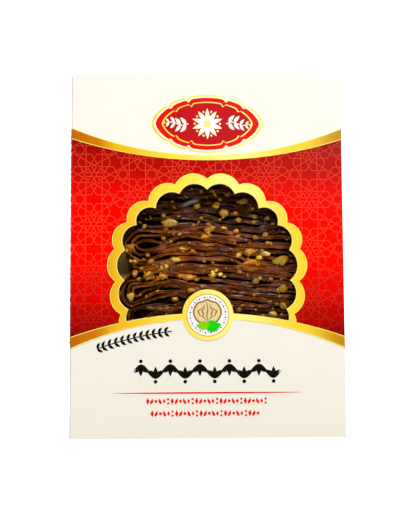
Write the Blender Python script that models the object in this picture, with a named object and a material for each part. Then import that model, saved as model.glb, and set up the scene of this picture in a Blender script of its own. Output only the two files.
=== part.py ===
# Walnut fruit leather in a shut folding carton with a scalloped window.
# Metres, +Z up. The origin is the middle of the carton's base, and the window faces -Y.

import math
import random

import bmesh
import bpy
import numpy as np
from mathutils import Matrix, Vector

MM = 0.001

# Folding carton
CARTON_WIDTH = 150 * MM
CARTON_DEPTH = 40 * MM
CARTON_HEIGHT = 200 * MM
BOARD = 0.5 * MM
GAP = 0.3 * MM
CORNER_RADIUS = 0.8 * MM
TUCK_LENGTH = 15 * MM
TUCK_WIDTH = 146 * MM
DUST_FLAP_LENGTH = 36 * MM

# Window: the points between its lobes on the right half, top to bottom, as (x, z)
WINDOW_CUSPS = [
    (0 * MM, 135.4 * MM),
    (15.3 * MM, 133.0 * MM),
    (28.3 * MM, 125.0 * MM),
    (38.8 * MM, 115.8 * MM),
    (45.0 * MM, 102.0 * MM),
    (45.3 * MM, 85.4 * MM),
    (43.2 * MM, 69.6 * MM),
    (36.0 * MM, 56.5 * MM),
]
LOBE_RISE = 4.4 * MM
LOBE_STEPS = 7
SILL_HEIGHT = 67.5 * MM
SILL_RADIUS = 224 * MM
SILL_STEPS = 5
BADGE_HEIGHT = 66.4 * MM
BADGE_RADIUS = 13.9 * MM
BADGE_STEPS = 16

# Clear film behind the window
FILM_WIDTH = 112 * MM
FILM_LOW = 53 * MM
FILM_HIGH = 147 * MM
FILM_THICKNESS = 0.2 * MM

# Fruit leather: a sheet wound flat, seen on its cut edges, one roll on another.
# Each roll has its layers, the pitch between them, its left and right ends, and how far
# the inmost fold is blown open.
LEATHER_THICKNESS = 1.5 * MM
LEATHER_FRONT = -16.6 * MM
LEATHER_BACK = 17.6 * MM
STACK_BASE = 1.7 * MM
ROLLS = [
    {"layers": 12, "pitch": 2.64 * MM, "left": -44 * MM, "right": 65 * MM, "eye": 0.4 * MM},
    {"layers": 12, "pitch": 2.64 * MM, "left": -43 * MM, "right": 67 * MM, "eye": 0.6 * MM},
    {"layers": 4, "pitch": 2.62 * MM, "left": -41.5 * MM, "right": 64 * MM, "eye": 1.9 * MM},
    {"layers": 7, "pitch": 2.63 * MM, "left": -48 * MM, "right": 66 * MM, "eye": 1.0 * MM},
    {"layers": 2, "pitch": 2.65 * MM, "left": -41 * MM, "right": 63 * MM, "eye": 0.3 * MM},
    {"layers": 6, "pitch": 2.72 * MM, "left": -41.5 * MM, "right": 66 * MM, "eye": 2.4 * MM},
    {"layers": 10, "pitch": 2.60 * MM, "left": -43 * MM, "right": 67 * MM, "eye": 1.2 * MM},
]
FIRST_SHOWN_ROLL = 2
RUN_STEP = 11 * MM
HIDDEN_RUN_STEP = 35 * MM
FOLD_STEPS = 6
EYE_REACH = 4.4 * MM
EYE_STRETCH = 1.7

# Waves along the sheet: through its thickness, and of its cut edge in and out
RIPPLE = 0.15 * MM
RIPPLE_LENGTH = 6.3 * MM
EDGE_WAVE = 0.5 * MM
EDGE_WAVE_LENGTH = 17 * MM

# How far the pile stands back towards its top and its right side, and over which heights
# and widths
TOP_SET_BACK = 4.2 * MM
TOP_SET_BACK_OVER = (106 * MM, 138 * MM)
RIGHT_SET_BACK = 2.6 * MM
RIGHT_SET_BACK_OVER = (26 * MM, 50 * MM)

# How the pile has settled: where it is highest, how far it drops to each side and over
# what distance, and how much less the left side drops towards the top
ARCH_X = -12 * MM
RIGHT_DROP = 6.6 * MM
RIGHT_DROP_REACH = 38 * MM
LEFT_DROP = 4.6 * MM
LEFT_DROP_REACH = 25 * MM
LEFT_DROP_EASED = 0.6
LEFT_EASED_FROM = 100 * MM
LEFT_EASED_TO = 125 * MM
LONG_WAVE = 0.7 * MM
LONG_WAVE_ACROSS = 9.2 * MM
LONG_WAVE_UP = 5.6 * MM
SHORT_WAVE = 0.35 * MM
SHORT_WAVE_ACROSS = 4.3 * MM
SHORT_WAVE_UP = 9.0 * MM
SHORT_WAVE_START = 1.3
SETTLED_FULLY = 52 * MM

# Places where the layers gape: roll number, layers below the gap, and in millimetres the
# gap's middle x, half length and extra opening
OPEN_GAPS = [
    (6, 6, -12, 12, 0.9), (6, 3, 4, 13, 1.3), (6, 2, 26, 8, 0.8), (6, 1, -33, 7, 1.5),
    (5, 5, -4, 10, 0.8), (5, 0, -21, 9, 1.3), (5, 0, 32, 6, 2.0), (3, 4, -2, 6, 1.3),
    (3, 4, 31, 8, 1.3), (3, 2, -22, 11, 1.5), (3, 0, -26, 11, 1.7), (3, 0, 25, 9, 0.8),
]
GAP_REACH = 5 * MM

# Larger walnut pieces at the cut edges: centre x and z, width and height in millimetres
WALNUT_PIECES = [
    (-20.8, 117.9, 9.4, 6.1), (19.6, 129.4, 7.2, 3.9), (10.0, 123.1, 6.1, 4.4),
    (32.3, 110.5, 3.9, 3.3), (32.6, 100.2, 7.6, 2.8), (40.5, 96.6, 9.2, 6.0),
    (24.7, 95.6, 8.0, 3.8), (24.2, 101.8, 6.1, 2.4), (-13.4, 102.8, 5.5, 2.7),
    (-17.4, 96.9, 6.0, 2.5), (-39.8, 95.9, 4.4, 2.7), (-31.4, 96.2, 4.4, 3.3),
    (-40.1, 89.3, 3.8, 3.8), (-32.5, 88.0, 5.5, 4.2), (-25.0, 87.8, 6.4, 3.3),
    (-10.5, 87.0, 8.8, 3.8), (3.0, 88.8, 3.8, 4.4), (-9.0, 80.0, 6.0, 3.3),
    (-42.0, 76.9, 4.4, 6.0), (41.4, 81.3, 6.6, 4.9), (35.7, 66.7, 5.2, 4.1),
    (42.0, 71.2, 4.4, 3.8), (17.3, 69.7, 3.6, 3.3), (-42.4, 103.9, 4.4, 3.8),
    (1.4, 113.8, 6.1, 3.3), (-0.8, 110.0, 4.4, 2.5), (26.3, 121.1, 4.4, 3.1),
    (5.2, 127.0, 4.4, 2.8), (-17.9, 75.3, 3.8, 2.7), (26.6, 84.7, 3.9, 3.3),
]
WALNUT_STANDS_PROUD = 1.1 * MM
WALNUT_DEPTH_PER_HEIGHT = 0.6
WALNUT_DEPTH_PER_WIDTH = 0.42
WALNUT_POINTS = 15
POCKET_CLEARANCE = 0.45 * MM

# How uneven a lump is: the pull on each point, and its turn from the golden angle
LUMP_REACH = (0.94, 1.1)
LUMP_TURN = 0.3

# Crumbs of walnut stuck to the cut edges between the larger pieces
CRUMBS_PER_ROLL = 8
CRUMB_RADIUS = (0.9 * MM, 1.5 * MM)
CRUMB_STANDS_PROUD = 0.6
CRUMB_HEIGHT = 0.75
CRUMB_POINTS = 9
CRUMB_SPACING = 5 * MM
CRUMB_CLEAR_OF_PIECES = 2.2 * MM
CRUMBS_WITHIN_X = 48 * MM
CRUMBS_WITHIN_Z = (60 * MM, 138 * MM)
SEED = 41


def make_material(name, colour, roughness):
    material = bpy.data.materials.new(name)
    material.use_nodes = True
    shader = material.node_tree.nodes["Principled BSDF"]
    shader.inputs["Base Color"].default_value = (*colour, 1)
    shader.inputs["Roughness"].default_value = roughness
    shader.inputs["Metallic"].default_value = 0
    material.diffuse_color = (*colour, 1)
    return material


def make_object(name, bm, material=None):
    mesh = bpy.data.meshes.new(name)
    bmesh.ops.recalc_face_normals(bm, faces=bm.faces)
    bm.to_mesh(mesh)
    bm.free()
    obj = bpy.data.objects.new(name, mesh)
    bpy.context.scene.collection.objects.link(obj)
    if material:
        mesh.materials.append(material)
    return obj


def box_mesh(low, high):
    bm = bmesh.new()
    size = [b - a for a, b in zip(low, high)]
    middle = [(a + b) / 2 for a, b in zip(low, high)]
    matrix = Matrix.Translation(middle) @ Matrix.Diagonal((*size, 1))
    bmesh.ops.create_cube(bm, size=1, matrix=matrix)
    return bm


def apply_boolean(target, operation, cutter=None, collection=None):
    modifier = target.modifiers.new(operation.lower(), "BOOLEAN")
    modifier.operation = operation
    modifier.solver = "EXACT"
    if collection:
        modifier.operand_type = "COLLECTION"
        modifier.collection = collection
    else:
        modifier.object = cutter
    evaluated = target.evaluated_get(bpy.context.evaluated_depsgraph_get())
    mesh = bpy.data.meshes.new_from_object(evaluated)
    target.modifiers.clear()
    target.data = mesh
    for used in list(collection.objects) if collection else [cutter]:
        bpy.data.objects.remove(used)
    if collection:
        bpy.data.collections.remove(collection)


def cut_box(target, low, high):
    apply_boolean(target, "DIFFERENCE", make_object("cutter", box_mesh(low, high)))


def sill_z(x):
    # Top of the arc that closes the window at the bottom.
    return SILL_HEIGHT - SILL_RADIUS + math.sqrt(SILL_RADIUS ** 2 - x ** 2)


def lobe_points(start, end):
    # A circular arc from one cusp towards the next, bulging away from the window's middle.
    chord = Vector(end) - Vector(start)
    half = chord.length / 2
    radius = (half ** 2 + LOBE_RISE ** 2) / (2 * LOBE_RISE)
    outward = Vector((-chord.y, chord.x)).normalized()
    centre = (Vector(start) + Vector(end)) / 2 - outward * (radius - LOBE_RISE)
    spread = math.asin(half / radius)
    along = chord.normalized()
    points = []
    for step in range(LOBE_STEPS):
        angle = -spread + 2 * spread * step / LOBE_STEPS
        points.append(centre + radius * (outward * math.cos(angle) + along * math.sin(angle)))
    return points


def window_outline():
    right_half = []
    for start, end in zip(WINDOW_CUSPS, WINDOW_CUSPS[1:]):
        right_half += lobe_points(start, end)
    right_half = [p for p in right_half if p.y > sill_z(p.x)]
    corner = right_half[-1].x
    right_half.append(Vector((corner, sill_z(corner))))

    # The sill runs in from the corner and climbs over the round badge.
    foot = math.asin((sill_z(BADGE_RADIUS) - BADGE_HEIGHT) / BADGE_RADIUS)
    badge_x = BADGE_RADIUS * math.cos(foot)
    for step in range(1, SILL_STEPS):
        x = corner + (badge_x - corner) * step / SILL_STEPS
        right_half.append(Vector((x, sill_z(x))))
    for step in range(BADGE_STEPS // 2):
        angle = foot + (math.pi / 2 - foot) * step / (BADGE_STEPS // 2)
        offset = Vector((math.cos(angle), math.sin(angle))) * BADGE_RADIUS
        right_half.append(offset + Vector((0, BADGE_HEIGHT)))

    badge_top = Vector((0, BADGE_HEIGHT + BADGE_RADIUS))
    left_half = [Vector((-p.x, p.y)) for p in reversed(right_half[1:])]
    return right_half + [badge_top] + left_half


def extrude_outline(outline, front, back):
    bm = bmesh.new()
    face = bm.faces.new([bm.verts.new((p.x, front, p.y)) for p in outline])
    extruded = bmesh.ops.extrude_face_region(bm, geom=[face])
    moved = [item for item in extruded["geom"] if isinstance(item, bmesh.types.BMVert)]
    bmesh.ops.translate(bm, verts=moved, vec=(0, back - front, 0))
    return bm


def carton_shell():
    half_width = CARTON_WIDTH / 2
    half_depth = CARTON_DEPTH / 2
    bm = box_mesh((-half_width, -half_depth, 0), (half_width, half_depth, CARTON_HEIGHT))
    upright = [e for e in bm.edges if abs(e.verts[0].co.z - e.verts[1].co.z) > BOARD]
    bmesh.ops.bevel(bm, geom=upright, offset=CORNER_RADIUS, segments=2, profile=0.5, affect="EDGES")
    return bm


def close_end(carton, at_top):
    # Frees the lid from the front and side panels, and leaves two dust flaps under it.
    inner_x = CARTON_WIDTH / 2 - BOARD
    inner_y = CARTON_DEPTH / 2 - BOARD
    tuck_front = -inner_y + GAP
    tuck_back = tuck_front + BOARD
    past = CARTON_WIDTH / 2 + BOARD

    def level(depth):
        return CARTON_HEIGHT - depth if at_top else depth

    def cut(low_x, high_x, low_y, high_y, outer, inner):
        low_z, high_z = sorted((level(outer), level(inner)))
        cut_box(carton, (low_x, low_y, low_z), (high_x, high_y, high_z))

    under_lid = BOARD
    over_flap = BOARD + GAP
    under_flap = over_flap + BOARD
    cut(-past, past, -inner_y, inner_y, under_lid, over_flap)
    cut(-past, past, -inner_y, tuck_front, -BOARD, over_flap)
    cut(-inner_x, inner_x, -inner_y, tuck_back + GAP, under_lid, under_flap + GAP)
    cut(-inner_x, inner_x, inner_y - GAP, inner_y, under_lid, under_flap + GAP)
    middle = inner_x - DUST_FLAP_LENGTH
    cut(-middle, middle, -inner_y + GAP, inner_y - GAP / 2, under_lid, under_flap + GAP)

    low_z, high_z = sorted((level(TUCK_LENGTH), level(BOARD / 2)))
    tuck = box_mesh((-TUCK_WIDTH / 2, tuck_front, low_z), (TUCK_WIDTH / 2, tuck_back, high_z))
    tip = level(TUCK_LENGTH)
    corners = [
        e for e in tuck.edges
        if all(abs(v.co.z - tip) < GAP for v in e.verts)
        and abs(e.verts[0].co.y - e.verts[1].co.y) > GAP
    ]
    bmesh.ops.bevel(tuck, geom=corners, offset=TUCK_LENGTH / 2, segments=3, profile=0.5, affect="EDGES")
    apply_boolean(carton, "UNION", make_object("tuck", tuck))


def make_carton(material):
    inner_x = CARTON_WIDTH / 2 - BOARD
    inner_y = CARTON_DEPTH / 2 - BOARD
    floor = 2 * BOARD + GAP
    carton = make_object("carton", carton_shell())
    cut_box(carton, (-inner_x, -inner_y, floor), (inner_x, inner_y, CARTON_HEIGHT - floor))
    close_end(carton, at_top=True)
    close_end(carton, at_top=False)
    front = -CARTON_DEPTH / 2
    opening = extrude_outline(window_outline(), front - BOARD, front + BOARD + GAP / 2)
    apply_boolean(carton, "DIFFERENCE", make_object("opening", opening))
    carton.data.materials.clear()
    carton.data.materials.append(material)
    return carton


def make_film(material):
    front = -CARTON_DEPTH / 2 + BOARD + GAP
    low = (-FILM_WIDTH / 2, front, FILM_LOW)
    high = (FILM_WIDTH / 2, front + FILM_THICKNESS, FILM_HIGH)
    return make_object("window_film", box_mesh(low, high), material)


def smooth_step(value, low, high):
    t = np.clip((value - low) / (high - low), 0, 1)
    return t * t * (3 - 2 * t)


def slump(x, z):
    # Moves the pile up or down: it arches over ARCH_X, drops away to both sides, and long
    # low waves run through it. It lies flat on the carton's floor.
    across = x - ARCH_X
    right_drop = RIGHT_DROP * (1 - np.exp(-(across / RIGHT_DROP_REACH) ** 2))
    left_drop = LEFT_DROP * (1 - np.exp(-(across / LEFT_DROP_REACH) ** 2))
    left_drop = left_drop * (1 - LEFT_DROP_EASED * smooth_step(z, LEFT_EASED_FROM, LEFT_EASED_TO))
    drop = np.where(across > 0, right_drop, left_drop)
    waves = LONG_WAVE * np.sin(across / LONG_WAVE_ACROSS + z / LONG_WAVE_UP)
    turn = across / SHORT_WAVE_ACROSS - z / SHORT_WAVE_UP + SHORT_WAVE_START
    waves += SHORT_WAVE * np.sin(turn)
    return (waves - drop) * smooth_step(z, 0, SETTLED_FULLY)


def front_y(x, z):
    # Where the cut edges lie: the pile leans back towards its top and its right side.
    lean = TOP_SET_BACK * smooth_step(z, *TOP_SET_BACK_OVER)
    return LEATHER_FRONT + lean + RIGHT_SET_BACK * smooth_step(x, *RIGHT_SET_BACK_OVER)


def gape(points, bases):
    # Parts the layers above and below each open gap. Their shift fades out over GAP_REACH,
    # and so does the gap along its length.
    shift = np.zeros(len(points))
    for number, below, x, half_length, opening in OPEN_GAPS:
        pitch = ROLLS[number]["pitch"]
        height = points[:, 1] - (bases[number] + below * pitch)
        side = np.clip(height / ((pitch - LEATHER_THICKNESS) / 2), -1, 1)
        fade = np.exp(-(height / GAP_REACH) ** 2)
        fade *= np.exp(-((points[:, 0] - x * MM) / (half_length * MM)) ** 2)
        shift += opening * MM / 2 * side * fade
    return points + np.stack((0 * shift, shift), axis=1)


def roll_path(roll, base, run_step):
    # The flat spiral's middle line: half circles of growing radius at the two ends,
    # joined by level runs, from the inmost layer outwards.
    layers = roll["layers"]
    pitch = roll["pitch"]
    middle = base + (layers // 2) * pitch
    widest_left = pitch / 2 * (layers - 1 if layers % 2 == 0 else layers)
    widest_right = pitch / 2 * (layers - 2 if layers % 2 == 0 else layers - 1)
    left_x = roll["left"] + LEATHER_THICKNESS / 2 + widest_left
    right_x = roll["right"] - LEATHER_THICKNESS / 2 - widest_right
    span = right_x - left_x
    runs = max(3, round(span / run_step))
    points = []
    for layer in range(layers):
        leftward = layer % 2 == 0
        radius = pitch / 2 * (layer + 1)
        height = middle + (radius if leftward else -pitch / 2 * layer)
        start = right_x if leftward else left_x
        end = left_x if leftward else right_x
        for step in range(runs):
            points.append((start + (end - start) * step / runs, height))
        fold_z = middle if leftward else middle + pitch / 2
        last = layer == layers - 1
        if last and not leftward:
            points.append((end, height))
            continue
        for step in range(FOLD_STEPS // 2 + 1 if last else FOLD_STEPS):
            turn = math.pi * step / FOLD_STEPS
            side = -1 if leftward else 1
            climb = 1 if leftward else -1
            x = end + side * radius * math.sin(turn)
            points.append((x, fold_z + climb * radius * math.cos(turn)))
    return np.array(points), (left_x, middle)


def open_eye(points, centre, strength):
    # Pushes the layers out from the inmost fold, which leaves an almond-shaped hollow.
    offset = points - np.array(centre)
    scaled = offset / np.array((EYE_STRETCH, 1))
    distance = np.hypot(scaled[:, 0], scaled[:, 1])
    push = strength * np.exp(-(distance / EYE_REACH) ** 2)
    return points + offset * (push / np.maximum(distance, GAP))[:, None]


def leather_mesh(index, bases, run_step):
    roll = ROLLS[index]
    path, eye = roll_path(roll, bases[index], run_step)
    steps = np.gradient(path, axis=0)
    steps /= np.hypot(steps[:, 0], steps[:, 1])[:, None]
    normals = np.stack((-steps[:, 1], steps[:, 0]), axis=1)
    travelled = np.concatenate(([0], np.cumsum(np.hypot(*np.diff(path, axis=0).T))))
    ripple = RIPPLE * np.sin(travelled / RIPPLE_LENGTH + index)
    middle = path + normals * ripple[:, None]

    def settled(points):
        points = gape(open_eye(points, eye, roll["eye"]), bases)
        points[:, 1] += slump(points[:, 0], points[:, 1])
        return points

    bm = bmesh.new()
    rows = []
    for side in (-0.5, 0.5):
        edge = settled(middle + normals * side * LEATHER_THICKNESS)
        wave = EDGE_WAVE * np.sin(travelled / EDGE_WAVE_LENGTH + 2 * index)
        front = front_y(edge[:, 0], edge[:, 1]) + wave
        rows.append([bm.verts.new((x, y, z)) for (x, z), y in zip(edge, front)])
    faces = []
    for a, b, c, d in zip(rows[0], rows[0][1:], rows[1][1:], rows[1]):
        faces.append(bm.faces.new((a, b, c, d)))
    extruded = bmesh.ops.extrude_face_region(bm, geom=faces)
    for item in extruded["geom"]:
        if isinstance(item, bmesh.types.BMVert):
            item.co.y = LEATHER_BACK
    bmesh.ops.triangulate(bm, faces=bm.faces)
    return bm, settled(middle).tolist()


def lump_mesh(centre, half_sizes, proud, points, draw, grow=0):
    # The hull of points spread over a ball by the golden angle, each pulled in or out.
    # Its front half is as deep as it stands proud of the leather.
    bm = bmesh.new()
    for number in range(points):
        z = 1 - (2 * number + 1) / points
        ring = math.sqrt(1 - z * z)
        turn = number * math.pi * (3 - math.sqrt(5)) + draw.uniform(-LUMP_TURN, LUMP_TURN)
        direction = Vector((ring * math.cos(turn), ring * math.sin(turn), z))
        reach = draw.uniform(*LUMP_REACH)
        half_width, half_depth, half_height = half_sizes
        depth = proud if direction.y < 0 else half_depth
        spot = Vector((direction.x * half_width, direction.y * depth, direction.z * half_height)) * reach
        spot += direction * grow
        bm.verts.new(Vector(centre) + spot)
    hull = bmesh.ops.convex_hull(bm, input=bm.verts)
    inside = [item for item in hull["geom_interior"] if isinstance(item, bmesh.types.BMVert)]
    bmesh.ops.delete(bm, geom=inside, context="VERTS")
    return bm


def walnut_shape(number, grow=0):
    x, z, width, height = (value * MM for value in WALNUT_PIECES[number])
    half_depth = max(WALNUT_DEPTH_PER_HEIGHT * height, WALNUT_DEPTH_PER_WIDTH * width)
    draw = random.Random(SEED + number)
    half_sizes = (width / 2, half_depth, height / 2)
    centre = (x, float(front_y(x, z)), z)
    return lump_mesh(centre, half_sizes, WALNUT_STANDS_PROUD, WALNUT_POINTS, draw, grow)


def crumb_places(layer_points, taken, draw):
    # Spots on the cut edges behind the window, clear of the walnut pieces and each other.
    lowest, highest = CRUMBS_WITHIN_Z
    shown = [(x, z) for x, z in layer_points if abs(x) < CRUMBS_WITHIN_X and lowest < z < highest]
    draw.shuffle(shown)
    margin = CRUMB_CLEAR_OF_PIECES
    places = []
    for x, z in shown:
        clear_of_pieces = all(
            math.hypot((x - a) / (w / 2 + margin), (z - b) / (h / 2 + margin)) > 1
            for a, b, w, h in taken
        )
        clear_of_crumbs = all(math.hypot(x - a, z - b) > CRUMB_SPACING for a, b in places)
        if clear_of_pieces and clear_of_crumbs:
            places.append((x, z))
        if len(places) == CRUMBS_PER_ROLL:
            break
    return places


def add_crumbs(leather, layer_points, index):
    draw = random.Random(SEED * (index + 2))
    taken = [tuple(value * MM for value in piece) for piece in WALNUT_PIECES]
    crumbs = bpy.data.collections.new("crumbs")
    bpy.context.scene.collection.children.link(crumbs)
    for x, z in crumb_places(layer_points, taken, draw):
        radius = draw.uniform(*CRUMB_RADIUS)
        centre = (x, float(front_y(x, z)), z)
        half_sizes = (radius, radius, CRUMB_HEIGHT * radius)
        proud = CRUMB_STANDS_PROUD * radius
        crumb = make_object("crumb", lump_mesh(centre, half_sizes, proud, CRUMB_POINTS, draw))
        bpy.context.scene.collection.objects.unlink(crumb)
        crumbs.objects.link(crumb)
    apply_boolean(leather, "UNION", collection=crumbs)


def cut_pockets(leather):
    pockets = bpy.data.collections.new("pockets")
    bpy.context.scene.collection.children.link(pockets)
    low = min(v.co.z for v in leather.data.vertices)
    high = max(v.co.z for v in leather.data.vertices)
    for number, (_, z, _, height) in enumerate(WALNUT_PIECES):
        if low - height * MM < z * MM < high + height * MM:
            pocket = make_object("pocket", walnut_shape(number, POCKET_CLEARANCE))
            bpy.context.scene.collection.objects.unlink(pocket)
            pockets.objects.link(pocket)
    apply_boolean(leather, "DIFFERENCE", collection=pockets)


def make_leather(material):
    heights = [roll["layers"] * roll["pitch"] for roll in ROLLS]
    bases = [STACK_BASE + sum(heights[:index]) for index in range(len(ROLLS))]
    for index in range(len(ROLLS)):
        shown = index >= FIRST_SHOWN_ROLL
        run_step = RUN_STEP if shown else HIDDEN_RUN_STEP
        bm, layer_points = leather_mesh(index, bases, run_step)
        leather = make_object(f"leather_roll_{index + 1}", bm)
        if shown:
            add_crumbs(leather, layer_points, index)
            cut_pockets(leather)
        leather.data.materials.clear()
        leather.data.materials.append(material)


def make_walnuts(material):
    for number in range(len(WALNUT_PIECES)):
        make_object(f"walnut_piece_{number + 1}", walnut_shape(number), material)


for old in list(bpy.data.objects):
    bpy.data.objects.remove(old)

make_carton(make_material("carton_board", (0.90, 0.87, 0.78), 0.35))
make_film(make_material("clear_film", (0.92, 0.93, 0.93), 0.08))
make_leather(make_material("fruit_leather", (0.13, 0.055, 0.025), 0.4))
make_walnuts(make_material("walnut", (0.52, 0.38, 0.17), 0.6))
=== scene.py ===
# Walnut fruit leather in a shut windowed carton: how it looks.
# The carton stands on the origin with its window facing -Y. Lengths are in metres.

import math

import bmesh
import bpy
import numpy as np
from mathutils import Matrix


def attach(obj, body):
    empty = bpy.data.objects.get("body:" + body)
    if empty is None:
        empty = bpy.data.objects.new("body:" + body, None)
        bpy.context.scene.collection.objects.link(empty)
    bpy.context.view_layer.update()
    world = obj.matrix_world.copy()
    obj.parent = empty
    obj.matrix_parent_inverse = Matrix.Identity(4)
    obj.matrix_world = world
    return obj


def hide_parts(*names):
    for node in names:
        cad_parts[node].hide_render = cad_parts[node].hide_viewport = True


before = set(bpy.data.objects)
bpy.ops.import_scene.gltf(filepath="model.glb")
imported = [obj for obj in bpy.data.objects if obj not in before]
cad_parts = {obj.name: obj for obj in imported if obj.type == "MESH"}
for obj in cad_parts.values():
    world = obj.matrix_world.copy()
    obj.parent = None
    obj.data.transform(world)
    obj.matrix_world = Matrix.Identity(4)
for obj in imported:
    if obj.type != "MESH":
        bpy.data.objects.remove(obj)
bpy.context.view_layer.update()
mm = 0.001

# Meshes from whole arrays


def pointsOf(*axes):
    # Points from their coordinates, arrays or single numbers, which become the last axis.
    return np.stack(np.broadcast_arrays(*axes), axis=-1)


def addPiece(name, points, faces, material, slotName, uv=None, layers=None, sharp=38):
    # A mesh from places, point numbers round each face, and values or colours at each point.
    # Faces that meet at more than the sharp angle, in degrees, have an edge between them.
    mesh = bpy.data.meshes.new(name)
    points, faces = np.reshape(points, (-1, 3)), np.reshape(faces, (-1, faces.shape[-1]))
    mesh.vertices.add(len(points))
    mesh.vertices.foreach_set("co", points.astype(np.float32).ravel())
    mesh.loops.add(faces.size)
    mesh.loops.foreach_set("vertex_index", faces.astype(np.int32).ravel())
    mesh.polygons.add(len(faces))
    mesh.polygons.foreach_set("loop_start", np.arange(0, faces.size, faces.shape[1], dtype=np.int32))
    mesh.update(calc_edges=True)
    if uv is not None:
        corners = uv.reshape(-1, 2)[faces.ravel()].astype(np.float32)
        mesh.uv_layers.new(name="UVMap").data.foreach_set("uv", corners.ravel())
    for key, values in (layers or {}).items():
        if values.ndim == 1:
            layer = mesh.attributes.new(key, "FLOAT", "POINT")
            layer.data.foreach_set("value", values.astype(np.float32))
        else:
            layer = mesh.attributes.new(key, "FLOAT_COLOR", "POINT")
            filled = np.pad(values.astype(np.float32), ((0, 0), (0, 1)), constant_values=1)
            layer.data.foreach_set("color", filled.ravel())
    mesh.validate()
    mesh.shade_smooth()
    mesh.set_sharp_from_angle(angle=math.radians(sharp))
    mesh.materials.append(material)
    piece = bpy.data.objects.new(name, mesh)
    bpy.context.scene.collection.objects.link(piece)
    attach(piece, "root")
    return piece


def gridFaces(rows, columns, closeRows=False, closeColumns=False):
    # Four-sided faces of points numbered row by row; a closed way joins its last to its first.
    i = np.arange(rows if closeRows else rows - 1)[:, None]
    j = np.arange(columns if closeColumns else columns - 1)
    row, below, after = i * columns, (i + 1) % rows * columns, (j + 1) % columns
    return pointsOf(row + j, row + after, below + after, below + j).reshape(-1, 4)


def closedSheets(outer, inner, closeRows=False, closeColumns=False):
    # Thin closed sheets between two like grids (sheets, rows, columns, 3): the outer grid, the
    # inner one turned over, and rims along the open borders. Each is turned to face outwards.
    if outer.ndim == 3:
        outer, inner = outer[None], inner[None]
    sheets, rows, columns = outer.shape[:3]
    count = rows * columns
    grid = gridFaces(rows, columns, closeRows, closeColumns)
    number = np.arange(count).reshape(rows, columns)
    rims = []
    if not closeRows:
        rims += [(number[0], closeColumns), (number[-1][::-1], closeColumns)]
    if not closeColumns:
        rims += [(number[:, -1], closeRows), (number[::-1, 0], closeRows)]
    faces = [grid, grid[:, ::-1] + count]
    for rim, goesRound in rims:
        if goesRound:
            rim = np.append(rim, rim[0])
        faces.append(pointsOf(rim[1:], rim[:-1], rim[:-1] + count, rim[1:] + count))
    faces = np.concatenate(faces)
    a, b, c, d = (outer.reshape(sheets, count, 3)[:, corner] for corner in grid.T)
    facing = np.cross(c - a, d - b) * (outer - inner).reshape(sheets, count, 3)[:, grid[:, 0]]
    turned = facing.sum(axis=(1, 2)) < 0
    faces = np.where(turned[:, None, None], faces[None, :, ::-1], faces[None])
    faces = faces + 2 * count * np.arange(sheets)[:, None, None]
    return np.stack((outer, inner), axis=1), faces


def twice(values):
    # Values of one grid (or more, one a sheet), repeated for the sheets' inner sides.
    if values.ndim == 3:
        values = values[None]
    return np.stack((values, values), axis=1).reshape(-1, values.shape[-1])


def softStep(value, low, high):
    # 0 below low, 1 above high, and between them 3 t squared less 2 t cubed.
    t = np.clip((value - low) / (high - low), 0, 1)
    return t * t * (3 - 2 * t)


def bell(*offsets):
    # 1 at the middle, falling off with the squares of the offsets.
    return np.exp(-sum(offset ** 2 for offset in offsets))


def sineNoise(draw, where, scale, terms=7):
    # Smooth noise of about -1 to 1: a mean of sines along random directions, scale long.
    ways = draw.normal(size=(terms, where.shape[-1])) * (2 * np.pi / scale) / math.sqrt(where.shape[-1])
    starts = draw.uniform(0, 2 * np.pi, terms)
    return np.sin(where @ ways.T + starts).sum(axis=-1) / math.sqrt(terms / 2) * 0.6


# Materials


def feed(tree, socket, value):
    # Links a socket to another one, or gives it a number or a colour of its own.
    if isinstance(value, bpy.types.NodeSocket):
        tree.links.new(value, socket)
    else:
        socket.default_value = (*value, 1) if socket.type == "RGBA" else value


def addNode(tree, kind, **values):
    # A new node. A name that one of its sockets has feeds it, and any other is a setting.
    node = tree.nodes.new("ShaderNode" + kind)
    for key, value in values.items():
        label = key.replace("_", " ")
        if label in node.inputs:
            feed(tree, node.inputs[label], value)
        else:
            setattr(node, key, value)
    return node


def newMaterial(name, **values):
    # A material with one Principled shader, whose named sockets get the values given.
    material = bpy.data.materials.new(name)
    material.use_nodes = True
    tree = material.node_tree
    shader = tree.nodes["Principled BSDF"]
    for key, value in values.items():
        feed(tree, shader.inputs[key.replace("_", " ")], value)
    return material, tree, shader


def mixColour(tree, share, first, second, blend="MIX"):
    # The first colour at share 0 and the second at 1, or the two multiplied.
    node = addNode(tree, "Mix", data_type="RGBA", blend_type=blend)
    for number, value in ((0, share), (6, first), (7, second)):
        feed(tree, node.inputs[number], value)
    return node.outputs[2]


def calculate(tree, operation, *values):
    # One operation on sockets and numbers.
    node = addNode(tree, "Math", operation=operation)
    for socket, value in zip(node.inputs, values):
        feed(tree, socket, value)
    return node.outputs[0]


def rescale(tree, value, low, high, toLow=0.0, toHigh=1.0):
    # The straight line from toLow at low to toHigh at high, level beyond both.
    ends = {"From_Min": low, "From_Max": high, "To_Min": toLow, "To_Max": toHigh}
    return addNode(tree, "MapRange", Value=value, **ends).outputs[0]


def colourRamp(tree, value, stops, smooth=True):
    # The colour of each (position, colour) stop at its position, eased or straight in between.
    node = addNode(tree, "ValToRGB", Fac=value)
    ramp = node.color_ramp
    ramp.interpolation = "EASE" if smooth else "LINEAR"
    while len(ramp.elements) < len(stops):
        ramp.elements.new(0.5)
    for element, (position, colour) in zip(ramp.elements, stops):
        element.position = position
        element.color = (*colour, 1)
    return node.outputs[0]


def place(tree, kind="Object"):
    # Where a spot is in its object, or in its UV map.
    return addNode(tree, "TexCoord").outputs[kind]


def axisOf(tree, vector, axis):
    # One coordinate of a vector.
    return addNode(tree, "SeparateXYZ", Vector=vector).outputs[axis]


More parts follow.
